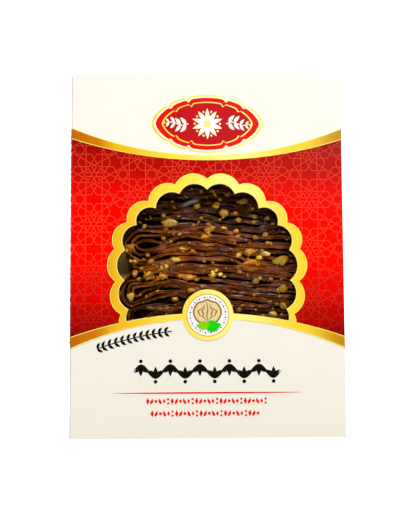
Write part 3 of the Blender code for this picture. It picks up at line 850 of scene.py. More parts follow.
def makeCartouche():
    # Five lenses one inside the other, a rosette of petals with dots between their tips, and on
    # each side a stem along one wave of a sine with four pairs of leaves.
    for number, (inset, ink) in enumerate(cartouche["insets"]):
        cartoucheSkin(f"cartouche{number + 1}", inset * mm, ink, number + 1)
    centre, count = cartouche["centre"], cartouche["petals"]
    turns = np.arange(count) * 2 * math.pi / count + math.pi / 2
    petals = leaves(ringOf(centre, cartouche["petalsFrom"], turns), turns, cartouche["petalLength"],
                    cartouche["petalWidth"], 0.0)
    strokes("cartouchePetals", *petals, "creamInk", 7)
    tipReach, tipRadius = cartouche["tipDots"]
    tips = dots(ringOf(centre, tipReach, turns + math.pi / count), tipRadius)
    strokes("cartoucheDots", *together(tips, dots([centre], cartouche["heart"])), "goldInk", 8)
    side = np.array([-1, 1])[:, None]
    share = np.linspace(0, 1, 17)
    stems = pointsOf(centre[0] + side * (cartouche["stemFrom"] + cartouche["stemLength"] * share) * mm,
                     centre[1] + side * cartouche["stemWave"] * np.sin(2 * math.pi * share))
    joints = stems[:, [2, 6, 10, 14]].reshape(-1, 2)
    mirror = np.where(joints[:, 0] > centre[0], 1, -1)
    outwards = np.where(mirror > 0, 0.0, math.pi)
    lengths = np.tile(cartouche["sprigLeaves"], 2) * mm
    sprigs = [(stems, np.full((2, 17), cartouche["stemHalf"]))]
    for up in (1, -1):
        turn = outwards + up * mirror * cartouche["leafTurn"]
        sprigs.append(leaves(joints, turn, lengths, 0.2 * lengths, -0.35 * up * mirror))
    strokes("cartoucheSprigs", *together(*sprigs), "creamInk", 7)
    beyond, radius = cartouche["endDots"]
    ends = joints[[3, 7]] + mirror[[3, 7], None] * np.array([[beyond, 0]])
    strokes("cartoucheEndDots", *dots(ends, radius), "goldInk", 8)


vine = {
    "fromX": -40.5 * mm, "toX": 39.6 * mm, "height": 36.0 * mm, "wave": 3.3 * mm, "waves": 5,
    "stemHalf": 0.6 * mm, "leaf": 6.0 * mm, "leafHalf": 1.2 * mm, "sideHalf": 1.05 * mm, "fan": 0.72,
    "berry": (2.2 * mm, 1.0 * mm),
}


def makeVine():
    # A black leaf row: a stem along a sine, a fan of three leaves inside each bend, and a dot
    # outside it.
    share = np.linspace(0, 1, 201)
    x = vine["fromX"] + (vine["toX"] - vine["fromX"]) * share
    z = vine["height"] + vine["wave"] * np.sin(2 * math.pi * vine["waves"] * share)
    thick = vine["stemHalf"] * np.minimum(1, 14 * np.minimum(share, 1 - share) + 0.2)
    stroke("vineStem", x, z, thick, "blackInk", 1)
    bend = np.arange(2 * vine["waves"])
    bendX = vine["fromX"] + (vine["toX"] - vine["fromX"]) * (bend + 0.5) / len(bend)
    up = np.where(bend % 2 == 0, 1, -1)
    roots = pointsOf(bendX, vine["height"] + up * vine["wave"])
    fan = [leaves(roots, -up * math.pi / 2, vine["leaf"], vine["leafHalf"], 0.0)]
    for side in (-1, 1):
        turn = -up * (math.pi / 2 + side * vine["fan"])
        fan.append(leaves(roots, turn, 0.9 * vine["leaf"], vine["sideHalf"], -side * up * 0.3))
    away, radius = vine["berry"]
    berries = dots(roots + pointsOf(0, up * away), radius)
    strokes("vineLeaves", *together(*fan, berries), "blackInk", 2)


smallPrint = {
    "rule": {"fromX": -52 * mm, "toX": 51 * mm, "height": 24.4 * mm, "half": 0.42 * mm},
    "rows": [(-33.8, 32.4, 20.0, 2.2), (-31.4, 30.1, 13.4, 2.2)],  # from, to, height and pitch
    "largeDiamond": (0.95 * mm, 1.9 * mm), "smallDiamond": (0.8 * mm, 1.3 * mm), "dot": 0.8 * mm,
    "twoDots": (1.1 * mm, 0.62 * mm),
    "slip": {"lean": 0.9 * mm, "foot": 1.5 * mm, "length": 3.5 * mm, "half": 0.72 * mm},
    "sprig": {"fromX": -60 * mm, "toX": -19.5 * mm, "under": 5.8 * mm, "leaf": 3.7 * mm, "half": 0.78 * mm,
              "stemHalf": 0.3 * mm, "pairs": 12, "turn": 0.85},
}


def markRow(fromX, toX, height, pitch):
    # A row of small marks at one pitch, in millimetres: six kinds, taken in turn.
    slip = smallPrint["slip"]
    count = int((toX - fromX) / pitch)
    spots = pointsOf(fromX + pitch * (np.arange(count) + 0.5), height) * mm
    first, second, third, fourth, fifth, sixth = (spots[kind::6] for kind in range(6))
    long, half = slip["length"], slip["half"]
    apart, radius = smallPrint["twoDots"]
    return [
        lozenges(first, *smallPrint["largeDiamond"]),
        leaves(second - (slip["lean"], slip["foot"]), 1.1, long, half),
        dots(third, smallPrint["dot"]),
        leaves(fourth - (-slip["lean"], slip["foot"]), 2.04, long, half, -0.25),
        lozenges(fifth, *smallPrint["smallDiamond"]),
        dots(sixth + (0, apart), radius),
        dots(sixth - (0, apart), radius),
    ]


def makeSmallPrint():
    # A rule whose half width is a sine to the power 0.55, two rows of small marks, and a sprig
    # of paired leaves that follows the lower gold band.
    rule = smallPrint["rule"]
    share = np.linspace(0, 1, 61)
    x = rule["fromX"] + (rule["toX"] - rule["fromX"]) * share
    stroke("redRule", x, rule["height"], rule["half"] * np.sin(math.pi * share) ** 0.55, "brightRedInk", 1)
    marks = [mark for row in smallPrint["rows"] for mark in markRow(*row)]
    strokes("redMarks", *together(*marks), "brightRedInk", 1)
    sprig = smallPrint["sprig"]
    x = np.linspace(sprig["fromX"], sprig["toX"], 61)
    z = bandEdge(x, *printShape["lowerLow"]) - sprig["under"]
    stroke("sprigStem", x, z, sprig["stemHalf"], "blackInk", 1)
    at = np.linspace(0, 54, sprig["pairs"]).astype(int)
    slope = np.arctan2(np.gradient(z), np.gradient(x))[at]
    pairs = [
        leaves(pointsOf(x, z)[at], slope + side * sprig["turn"], sprig["leaf"], sprig["half"], -side * 0.3)
        for side in (1, -1)
    ]
    strokes("sprigLeaves", *together(*pairs), "blackInk", 2)


badge = {
    "centre": (0.0, printShape["badgeHeight"]), "ring": (11.4 * mm, printShape["badgeRadius"]),
    "line": (11.2 * mm, 11.6 * mm), "disc": 11.35 * mm, "dots": 40, "dotRing": 9.7 * mm,
    "dotStart": 0.18, "dotRadii": (0.42, 0.24), "kernel": (-0.3 * mm, 67.9 * mm),
    "kernelRadius": 7.5 * mm, "kernelShares": (1.06, 0.92), "lobes": (0.05, 9), "face": (0.88, 0.86),
    "rib": 0.4 * mm, "ribs": [(0.34, 0.62), (0.66, 0.40)], "ribBow": 1.25, "ribSway": (0.05, 9),
    "spine": 0.42 * mm, "spineSway": (0.25 * mm, 5), "spineLength": 0.72,
    "leaves": [  # name, base, turn, length, half width, bend, ink and layer
        ("Long", (-1.9 * mm, 61.0 * mm), 0.02, 9.4 * mm, 3.2 * mm, 0.35, "leafInk", 12),
        ("Short", (0.6 * mm, 61.8 * mm), 3.3, 7.4 * mm, 2.4 * mm, -0.35, "limeInk", 14),
    ],
}


def badgeRing(name, key, ink, layer, rows):
    # A flat ring between two radii, in rows from the inner one to the outer one.
    turn = np.linspace(0, 2 * math.pi, 120, endpoint=False)
    radius = np.linspace(*badge[key], rows)[:, None, None]
    ring = np.array(badge["centre"]) + radius * pointsOf(np.sin(turn), np.cos(turn))
    printSkin(name, ring, ink, layer, closeColumns=True)


def makeBadge():
    # A gold ring round a white disc with a ring of dots, a halved walnut and two leaves. The
    # walnut is a slightly lobed circle with a smaller one in it, and bowed ribs on both sides.
    badgeRing("badgeRing", "ring", "goldInk", 9, 7)
    badgeRing("badgeLine", "line", "orangeInk", 11, 3)
    strokes("badgeDisc", *dots([badge["centre"]], badge["disc"], 61), "whiteInk", 8, across=25)
    count, first = badge["dots"], badge["dotStart"]
    turns = np.linspace(first, 2 * math.pi + first, count, endpoint=False)
    ring = ringOf(badge["centre"], badge["dotRing"], turns)
    radii = np.where(np.arange(count) % 2 == 0, *badge["dotRadii"]) * mm
    strokes("badgeDots", *dots(ring, radii, 9), "blackInk", 9)
    (x, z), radius = badge["kernel"], badge["kernelRadius"]
    share = -np.cos(np.linspace(0, math.pi, 41))
    (lobe, lobes), (wide, tall) = badge["lobes"], badge["kernelShares"]
    tall = radius * tall * np.sqrt(np.maximum(1 - share ** 2, 0)) * (1 + lobe * np.cos(lobes * share))
    wide = share * radius * wide
    faceWide, faceTall = badge["face"]
    stroke("walnutShell", x + wide, z, tall, "brownInk", 9, across=15)
    stroke("walnutFace", x + wide * faceWide, z, tall * faceTall, "shellInk", 10, across=15)
    up = np.linspace(-1, 1, 17)
    sway, often = badge["spineSway"]
    ribs = [pointsOf(x + sway * np.sin(often * up), z + up * radius * badge["spineLength"])]
    widths = [badge["spine"] * (1 - 0.5 * abs(up))]
    sway, often = badge["ribSway"]
    for side in (-1, 1):
        for reach, length in badge["ribs"]:
            bow = side * radius * (reach * np.cos(up * badge["ribBow"]) + sway * np.sin(often * up))
            ribs.append(pointsOf(x + bow, z + up * radius * length))
            widths.append(badge["rib"] * (1 - 0.7 * abs(up)))
    strokes("walnutRibs", ribs, widths, "brownInk", 11)
    for name, base, *leaf, ink, layer in badge["leaves"]:
        strokes("badgeLeaf" + name, *leaves([base], *leaf), ink, layer)


backPanel = {
    "middle": 190 * mm, "halfWidth": 50 * mm, "low": 72 * mm, "high": 147 * mm, "border": 1.4 * mm,
    "notch": 6 * mm,
}


def makeBackPanel():
    # A bare cream panel in a gold border on the back, its corners drawn in by quarter rounds.
    notch = backPanel["notch"]
    for name, grow, ink, layer in (("backPanelBorder", 0, "goldInk", 5), ("backPanel", -1, "creamInk", 6)):
        inner = backPanel["halfWidth"] + grow * backPanel["border"] - notch
        halfTall = (backPanel["high"] - backPanel["low"]) / 2 + grow * backPanel["border"]
        turn = np.linspace(0, math.pi / 2, 14)[1:]
        x = np.concatenate((np.linspace(0, inner, 20), inner + notch * np.sin(turn)))
        tall = np.concatenate((np.full(20, halfTall), halfTall - notch * np.sin(turn) ** 0.8))
        x, tall = np.concatenate((-x[:0:-1], x)), np.concatenate((tall[:0:-1], tall))
        middle = (backPanel["high"] + backPanel["low"]) / 2
        stroke(name, backPanel["middle"] + x, middle, tall, ink, layer, across=21)


makeCartouche()
makeVine()
makeSmallPrint()
makeBadge()
makeBackPanel()
print("ornament ready")

# The clear film

filmShape = {
    "halfWidth": 56 * mm, "low": 53 * mm, "high": 147 * mm, "front": -19.2 * mm, "thickness": 0.06 * mm,
    "step": 0.8 * mm, "waves": [(0.10 * mm, 46 * mm), (0.02 * mm, 15 * mm)], "dent": 0.05 * mm,
    "gluedRim": 8 * mm, "follow": 0.7,  # how far it follows the board's bulge
    "creases": [  # both ends, the width in millimetres, and the strength
        ((32.3, 118.0), (26.6, 105.0), 0.30, 0.5), ((33.9, 116.8), (28.4, 104.4), 0.26, 0.4),
        ((19.3, 96.5), (19.0, 78.6), 0.4, 0.3),
    ],
    # a painted glint on the film, where no crease lies
    "paintedCrescentGlint": {"centre": (-9.3, 128.4), "reach": (5.4, 1.2), "tilt": 0.33, "curl": 0.35, "strength": 0.62},
}


def distanceToLine(x, z, start, end):
    # How far a spot is from the nearest point of a line piece, whose ends are in millimetres.
    start, end = np.array(start) * mm, np.array(end) * mm
    along = end - start
    share = np.clip(((x - start[0]) * along[0] + (z - start[1]) * along[1]) / (along @ along), 0, 1)
    return np.hypot(x - start[0] - share * along[0], z - start[1] - share * along[1])


def makeFilmMaterial():
    # Clear film mirrors 0.024 of the light head on and more at a slant, the same from both
    # sides. Smudges and creases cover a little more of what lies behind. The crease mask also
    # holds painted glints: along the creases, which are partly real whitening, and in a crescent.
    material, tree, shader = newMaterial("clearFilm", Metallic=1.0, Base_Color=(0.97, 0.98, 1.0))
    creaseAndGlint = marked(tree, "creaseAndGlint")
    slant = addNode(tree, "LayerWeight", Blend=0.5).outputs["Facing"]
    mirror = calculate(tree, "MULTIPLY_ADD", calculate(tree, "POWER", slant, 5.0), 0.9, 0.024)
    smudge = calculate(tree, "SUBTRACT", noiseAt(tree, place(tree), 55.0, 4.0), 0.45)
    haze = calculate(tree, "MAXIMUM", calculate(tree, "MULTIPLY", smudge, 0.03), 0.0)
    # the mask shows more mirror: whitening along the creases, and painted glints
    alpha = calculate(tree, "MULTIPLY_ADD", creaseAndGlint, 0.10, calculate(tree, "ADD", mirror, haze))
    feed(tree, shader.inputs["Alpha"], alpha)
    feed(tree, shader.inputs["Roughness"], calculate(tree, "MULTIPLY_ADD", creaseAndGlint, 0.5, 0.06))
    return material


def makeFilm():
    # A gently waving sheet glued behind the board. A crease is a bell across its line, dented
    # and whitened, partly as a painted glint; the crescent, a painted glint alone, falls off with
    # the fourth powers of the ways along and across it.
    shape, paintedCrescentGlint = filmShape, filmShape["paintedCrescentGlint"]
    x = np.arange(-shape["halfWidth"], shape["halfWidth"] + shape["step"] / 2, shape["step"])[None]
    z = np.arange(shape["low"], shape["high"] + shape["step"] / 2, shape["step"])[:, None]
    x, z = np.broadcast_arrays(x, z)
    draw = np.random.default_rng(5)
    wave = sum(size * sineNoise(draw, pointsOf(x, z), length) for size, length in shape["waves"])
    whiteningAndGlint = np.zeros_like(x)
    for start, end, width, strength in shape["creases"]:
        near = bell(distanceToLine(x, z, start, end) / (width * mm))
        wave = wave - shape["dent"] * near
        whiteningAndGlint = np.maximum(whiteningAndGlint, strength * near)
    # painted glint: the crescent
    offX, offZ = x - paintedCrescentGlint["centre"][0] * mm, z - paintedCrescentGlint["centre"][1] * mm
    cos, sin = math.cos(paintedCrescentGlint["tilt"]), math.sin(paintedCrescentGlint["tilt"])
    along = (offX * cos + offZ * sin) / (paintedCrescentGlint["reach"][0] * mm)
    across = (-offX * sin + offZ * cos) / (paintedCrescentGlint["reach"][1] * mm) + paintedCrescentGlint["curl"] * along ** 2
    whiteningAndGlint = np.maximum(whiteningAndGlint, paintedCrescentGlint["strength"] * np.exp(-along ** 4 - across ** 4))
    wave = wave * softStep(shape["halfWidth"] - abs(x), 0, shape["gluedRim"])
    y = shape["front"] - shape["follow"] * swell(x + halfWidth, z) + wave
    points, faces = closedSheets(pointsOf(x, y, z), pointsOf(x, y + shape["thickness"], z))
    layers = {"creaseAndGlint": twice(whiteningAndGlint[..., None])[:, 0]}
    film = addPiece("windowFilm", points, faces, makeFilmMaterial(), "clear_film", layers=layers)
    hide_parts("window_film")


makeFilm()
print("film ready")

# Fruit leather: each roll is one sheet wound flat and seen on its cut edges

leatherShape = {
    "thickness": 1.5 * mm, "shownThickness": 2.0 * mm, "front": -16.6 * mm, "back": 17.6 * mm,
    "base": 1.7 * mm,
    "rolls": [  # layers, pitch, left and right end in millimetres, how open its eye is, tone
        # tone is each roll's own darkness; the top roll's low tone is partly painted shade of the pile's top
        (12, 2.64, -44, 65, 0.4, 0.7), (12, 2.64, -43, 67, 0.6, 0.7), (4, 2.62, -41.5, 64, 1.9, 0.6),
        (7, 2.63, -48, 66, 1.0, 0.98), (2, 2.65, -41, 63, 0.3, 1.35), (6, 2.72, -41.5, 66, 2.4, 1.12),
        (10, 2.60, -43, 67, 1.2, 0.54),
    ],
    "gaps": [  # roll, layers below, middle x, half length and opening in millimetres
        (6, 6, -12, 12, 0.9), (6, 3, 4, 13, 1.3), (6, 2, 26, 8, 0.8), (6, 1, -33, 7, 1.5),
        (5, 5, -4, 10, 0.8), (5, 0, -21, 9, 1.3), (5, 0, 32, 6, 2.0), (3, 4, -2, 6, 1.3),
        (3, 4, 31, 8, 1.3), (3, 2, -22, 11, 1.5), (3, 0, -26, 11, 1.7), (3, 0, 25, 9, 0.8),
        (5, 1, 24, 6, 1.3), (5, 1, -33, 8, 1.2), (3, 5, -3, 9, 1.2), (6, 4, 16, 10, 1.0),
    ],
    "step": 0.7 * mm, "hiddenStep": 3 * mm, "firstShown": 2, "flatFrom": 0.13,
    "syrupRound": ("amber", "orange", "gold"), "syrupReach": (0.85, 0.95),  # shares of a piece's size
    # painted shade: the leather's colour is darkened towards the right and the top (how much, from, to)
    "paintedShadeRight": (0.22, 8 * mm, 44 * mm), "paintedShadeTop": (0.24, 106 * mm, 132 * mm),  # how much, from, to
}
pile = {  # how the rolls settle
    "arch": -12 * mm, "rightDrop": (6.6 * mm, 38 * mm), "leftDrop": (4.6 * mm, 25 * mm),
    "topHolds": (0.6, 100 * mm, 125 * mm), "firmUpTo": 52 * mm, "pinchedFrom": (40 * mm, 60 * mm),
    "leanTop": (4.2 * mm, 106 * mm, 138 * mm), "leanRight": (2.6 * mm, 26 * mm, 50 * mm),
    "pinches": [(0.30 * mm, 0.86 * mm), (0.62 * mm, 1.75 * mm)],
    "sag": [(0.7, 9.2, 5.6, 0.0), (0.35, 4.3, -9.0, 1.3)],  # height, lengths along x and z, start
    "slants": [(0.12, 2.9, 6.1, 0.6), (0.30, 5.6, -9.0, 2.0)],  # the same, of the pinched layers
    "gapReach": 5 * mm, "eyeReach": 4.4 * mm, "eyeStretch": 1.7, "eyeLoose": 0.62,
    "looseRing": (2.0 * mm, 3.6 * mm), "ringMiddle": 4 * mm, "ringReach": 6 * mm,
    "room": 0.30, "roomWide": 0.62, "roomTall": 5.5 * mm,
}
rollHeights = [layers * pitch * mm for layers, pitch, *_ in leatherShape["rolls"]]
rollBases = leatherShape["base"] + np.concatenate(([0], np.cumsum(rollHeights)))

# The larger walnut pieces: centre x and z, width and height in millimetres, and finish
walnuts = [
    (-20.8, 117.9, 9.4, 6.1, "pale"), (19.6, 129.4, 7.2, 3.9, "shadedOlive"), (10.0, 123.1, 6.1, 4.4, "pale"),
    (32.3, 110.5, 3.9, 3.3, "tan"), (32.6, 100.2, 7.6, 2.8, "bright"), (40.5, 96.6, 9.2, 6.0, "pale"),
    (24.7, 95.6, 8.0, 3.8, "orange"), (24.2, 101.8, 6.1, 2.4, "orange"), (-13.4, 102.8, 5.5, 2.7, "amber"),
    (-17.4, 96.9, 6.0, 2.5, "gold"), (-39.8, 95.9, 4.4, 2.7, "amber"), (-31.4, 96.2, 4.4, 3.3, "tan"),
    (-40.1, 89.3, 3.8, 3.8, "tan"), (-31.9, 88.4, 6.4, 4.4, "amber"), (-25.0, 87.8, 6.4, 3.3, "amber"),
    (-10.5, 87.0, 8.8, 3.8, "amber"), (3.0, 88.8, 3.8, 4.4, "gold"), (-9.0, 80.0, 6.0, 3.3, "tan"),
    (-42.0, 76.9, 4.4, 6.0, "bright"), (41.4, 81.3, 6.6, 4.9, "pale"), (35.7, 66.7, 5.2, 4.1, "pale"),
    (42.0, 71.2, 4.4, 3.8, "shadedOlive"), (17.3, 69.7, 3.6, 3.3, "shadedOlive"), (-42.4, 103.9, 4.4, 3.8, "amber"),
    (1.4, 113.8, 6.1, 3.3, "tan"), (-0.8, 110.0, 4.4, 2.5, "orange"), (26.3, 121.1, 4.4, 3.1, "shadedOlive"),
    (5.2, 127.0, 4.4, 2.8, "tan"), (-17.9, 75.3, 3.8, 2.7, "tan"), (26.6, 84.7, 3.9, 3.3, "tan"),
]


def rollPath(roll, base, step):
    # The flat spiral's middle line, from the inmost layer out: level runs, joined at the two
    # ends by half circles whose radius grows by half the pitch at each layer.
    layers, pitch, even = roll[0], roll[1] * mm, roll[0] % 2 == 0
    middle = base + (layers // 2) * pitch
    thickness = leatherShape["thickness"]
    left = roll[2] * mm + thickness / 2 + pitch / 2 * (layers - 1 if even else layers)
    right = roll[3] * mm - thickness / 2 - pitch / 2 * (layers - 2 if even else layers - 1)
    runs = max(4, round((right - left) / step))
    parts = []
    for layer in range(layers):
        leftward = layer % 2 == 0
        radius = pitch / 2 * (layer + 1)
        start, end = (right, left) if leftward else (left, right)
        level = middle + (radius if leftward else -pitch / 2 * layer)
        parts.append(pointsOf(start + (end - start) * np.arange(runs) / runs, level))
        last = layer == layers - 1
        if last and not leftward:
            break
        folds = max(10, round(math.pi * radius / step))
        turn = math.pi * np.arange(folds // 2 if last else folds) / folds
        foldZ = middle if leftward else middle + pitch / 2
        side = -1 if leftward else 1
        parts.append(pointsOf(end + side * radius * np.sin(turn), foldZ - side * radius * np.cos(turn)))
    return np.concatenate(parts), (left, middle)


def gape(points):
    # Parts the layers above and below each open gap, as a bell along it and away from it.
    shift = np.zeros(points.shape[:-1])
    for number, below, x, halfLength, opening in leatherShape["gaps"]:
        pitch = leatherShape["rolls"][number][1] * mm
        up = points[..., 1] - (rollBases[number] + below * pitch)
        side = np.clip(up / ((pitch - leatherShape["thickness"]) / 2), -1, 1)
        fade = bell(up / pile["gapReach"], (points[..., 0] - x * mm) / (halfLength * mm))
        shift += opening * mm / 2 * side * fade
    return shift


def openEye(points, centre, strength):
    # Pushes the layers out from the inmost fold by a bell, which leaves an almond-shaped
    # hollow, and loosens the folds left of it by a wider ring.
    offset = points - np.array(centre)
    distance = np.hypot(offset[..., 0] / pile["eyeStretch"], offset[..., 1])
    push = strength * bell(distance / pile["eyeReach"])
    ring = softStep(distance, *pile["looseRing"]) * bell((distance - pile["ringMiddle"]) / pile["ringReach"])
    push = push + pile["eyeLoose"] * strength * ring * softStep(-offset[..., 0], 0, pile["ringMiddle"])
    return points + offset * (push / np.maximum(distance, 0.3 * mm))[..., None]


def waves(kind, x, z):
    # A sum of sines: each one's height times the sine of x and z over its two lengths, and its
    # start. The heights and lengths are in millimetres.
    return sum(tall * mm * np.sin(x / (wide * mm) + z / (high * mm) + start)
               for tall, wide, high, start in pile[kind])


def slump(points):
    # The settled pile: it arches over one x, falls off by a bell to both sides, less so on the
    # left at its top, and waves.
    across, z = points[..., 0] - pile["arch"], points[..., 1]
    right, left = (drop * (1 - bell(across / reach)) for drop, reach in (pile["rightDrop"], pile["leftDrop"]))
    held, low, high = pile["topHolds"]
    left = left * (1 - held * softStep(z, low, high))
    return (waves("sag", across, z) - np.where(across > 0, right, left)) * softStep(z, 0, pile["firmUpTo"])


def pinch(points):
    # Draws neighbouring layers together in places and parts them in others, by four waves
    # whose slopes along z add up to less than one, so that the layers keep their order.
    x, z = points[..., 0], points[..., 1]
    wander = 2.0 * np.sin(x / (26 * mm) + 0.7) + 0.9 * np.sin(x / (11 * mm) - z / (21 * mm))
    drift = 1.6 * np.sin(x / (23 * mm) + 2.0) + x / (40 * mm)
    shift = waves("slants", x, z)
    for (size, length), start in zip(pile["pinches"], (wander, drift)):
        shift = shift + size * np.sin(z / length + start)
    return shift * softStep(z, *pile["pinchedFrom"])


def makeRoom(points):
    # Moves the layers up and down away from each larger walnut piece, fading out by a bell.
    shift = np.zeros(points.shape[:-1])
    for x, z, width, tall, _ in walnuts:
        rise = points[..., 1] - z * mm
        away = bell((points[..., 0] - x * mm) / (pile["roomWide"] * width * mm), rise / pile["roomTall"])
        shift += pile["room"] * tall * mm * np.tanh(rise / (0.5 * tall * mm)) * away
    return shift


def settle(points, eye, strength):
    # The wound path as it lies in the pile: its eye opened, then moved up and down in turn by
    # the gaps, the sag, the pinches and the walnut pieces.
    points = openEye(points, eye, strength)
    for shift in (gape, slump, pinch, makeRoom):
        points = points + pointsOf(0, shift(points))
    return points


def growing(where, amount, start, end):
    # An amount that comes in by a soft step from start to end.
    return amount * softStep(where, start, end)


def frontY(x, z):
    # The pile leans back towards its top and its right side, by soft steps.
    return leatherShape["front"] + (growing(z, *pile["leanTop"]) + growing(x, *pile["leanRight"]))


def syrupStain(x, z):
    # 1 at the heart of each clustered walnut piece, fading out as a bell of its own size.
    stain = np.zeros(x.shape)
    wide, high = leatherShape["syrupReach"]
    for nutX, nutZ, width, tall, finish in walnuts:
        if finish in leatherShape["syrupRound"]:
            near = bell((x - nutX * mm) / (wide * width * mm), (z - nutZ * mm) / (high * tall * mm))
            stain = np.maximum(stain, near)
    return stain


leatherLook = {
    "shades": [  # by the noise, from the darkest
        (0.30, (0.012, 0.0020, 0.0001)), (0.42, (0.046, 0.0072, 0.0001)), (0.52, (0.17, 0.032, 0.0010)),
        (0.62, (0.37, 0.100, 0.005)), (0.76, (0.64, 0.27, 0.032)),
    ],
    # the deep colour is painted shade for the flat sides inside the gaps between layers
    # the red patches are partly the fruit's own colour, partly painted glow of light through thin leather
    "red": (0.36, 0.088, 0.003), "deep": (0.024, 0.006, 0.0004), "syrup": (0.56, 0.17, 0.002),
    "laidShare": 0.62, "gritShare": 0.45, "redShare": 0.6, "gapShadeShare": 0.9, "relief": 0.9,
}


def makeLeatherMaterial():
    # Dark boiled fruit on the piece's own UV: thin laid layers along the cut edge added to
    # longer stretches, redder patches that are partly painted glow of light through thin leather,
    # darker flat sides that are painted shade in the gaps between the layers, and syrup round the
    # walnut pieces.
    # A sticky gloss comes and goes, and grit is added to the laid layers' relief.
    look = leatherLook
    material, tree, shader = newMaterial("fruitLeather", Specular_IOR_Level=0.06, Coat_Roughness=0.19)
    uv = place(tree, "UV")

    def noise(alongScale, acrossScale, detail, rough=0.55):
        mapping = addNode(tree, "Mapping", Vector=uv, Scale=(alongScale, acrossScale, 1))
        return noiseAt(tree, mapping.outputs[0], 1.0, detail, Roughness=rough)

    laid = noise(1.5, 27.0, 3.0)
    stretches = calculate(tree, "MULTIPLY", noise(0.55, 1.4, 2.0), 1 - look["laidShare"])
    grit = calculate(tree, "MULTIPLY", noise(16.0, 30.0, 4.0, 0.65), look["gritShare"])
    shade = calculate(tree, "MULTIPLY_ADD", laid, look["laidShare"], stretches)
    colour = colourRamp(tree, shade, look["shades"], smooth=False)
    # partly painted light: the redder amber patches also stand in for light glowing through thin leather
    red = rescale(tree, noise(0.9, 2.2, 1.0), 0.58, 0.72, 0.0, look["redShare"])
    colour = mixColour(tree, red, colour, look["red"])
    # painted shade: away from the cut edge the flat sides turn to the deep colour, as the gaps are shaded
    fromEdge = calculate(tree, "ABSOLUTE", axisOf(tree, uv, 1))
    flat = leatherShape["flatFrom"]
    deep = rescale(tree, fromEdge, flat, flat + 0.12, 0.0, look["gapShadeShare"])
    colour = mixColour(tree, deep, colour, look["deep"])
    syrup = calculate(tree, "MULTIPLY", marked(tree, "syrup"), rescale(tree, laid, 0.38, 0.56, 0.1, 0.95))
    colour = mixColour(tree, syrup, colour, look["syrup"])
    # the tone attribute holds each roll's own darkness and the painted shade towards the right and top
    colour = mixColour(tree, 1.0, colour, marked(tree, "tone", "Color"), "MULTIPLY")
    feed(tree, shader.inputs["Base Color"], colour)
    feed(tree, shader.inputs["Roughness"], rescale(tree, noise(3.0, 9.0, 3.0), 0.35, 0.7, 0.24, 0.6))
    feed(tree, shader.inputs["Coat Weight"], rescale(tree, noise(1.3, 5.0, 2.0), 0.45, 0.62))
    addRelief(tree, shader, calculate(tree, "ADD", laid, grit), look["relief"], 0.4 * mm)
    return material


cutEdge = {  # lengths along the sheet are in millimetres, ways across it from -1 to 1
    "thickness": ((0.34, 12), (0.13, 3.4)), "thinLeft": (0.45, -40 * mm, -20 * mm), "taper": 1 * mm,
    "ripple": (0.15 * mm, 6.3 * mm), "wave": (0.5 * mm, 17 * mm), "fadesBy": 3 * mm,
    "slow": ((0.62 * mm, 30), (0.16 * mm, 6)), "ridgeSize": (9 * mm, 0.55), "fineRidges": (4.0, 1.5),
    "ridge": 0.13 * mm, "fineRidge": 0.055 * mm, "ply": (0.26 * mm, 17), "seams": (-0.30, 0.36),
    "seamWander": (0.22, 23), "seamHalf": 0.09, "groove": (0.20 * mm, 13), "grooveHalf": 0.11,
}


def cutEdgeDepth(draw, along, offset):
    # How far back the cut edge lies along a sheet (along) and across it (offset, -1 to 1): slow
    # wanders, ridges that follow the layers, and three plies, each at a depth of its own, with
    # a bell-shaped groove at the seams between them.
    def wander(amount, length):
        return amount * sineNoise(draw, along, length * mm)[:, None]

    streak = pointsOf(along / cutEdge["ridgeSize"][0], offset / cutEdge["ridgeSize"][1])
    ragged = sum(wander(*values) for values in cutEdge["slow"])
    ragged = ragged + cutEdge["ridge"] * sineNoise(draw, streak, 1.0)
    ragged = ragged + cutEdge["fineRidge"] * sineNoise(draw, streak * cutEdge["fineRidges"], 1.0)
    levels = [wander(*cutEdge["ply"]) for _ in range(3)]
    plies, half = levels[0], cutEdge["seamHalf"]
    deepest, length = cutEdge["groove"]
    for middle, before, after in zip(cutEdge["seams"], levels, levels[1:]):
        seam = middle + wander(*cutEdge["seamWander"])
        plies = plies + (after - before) * softStep(offset, seam - half, seam + half)
        groove = np.maximum(deepest + wander(deepest, length), 0)
        plies = plies + groove * bell((offset - seam) / cutEdge["grooveHalf"])
    return ragged + plies


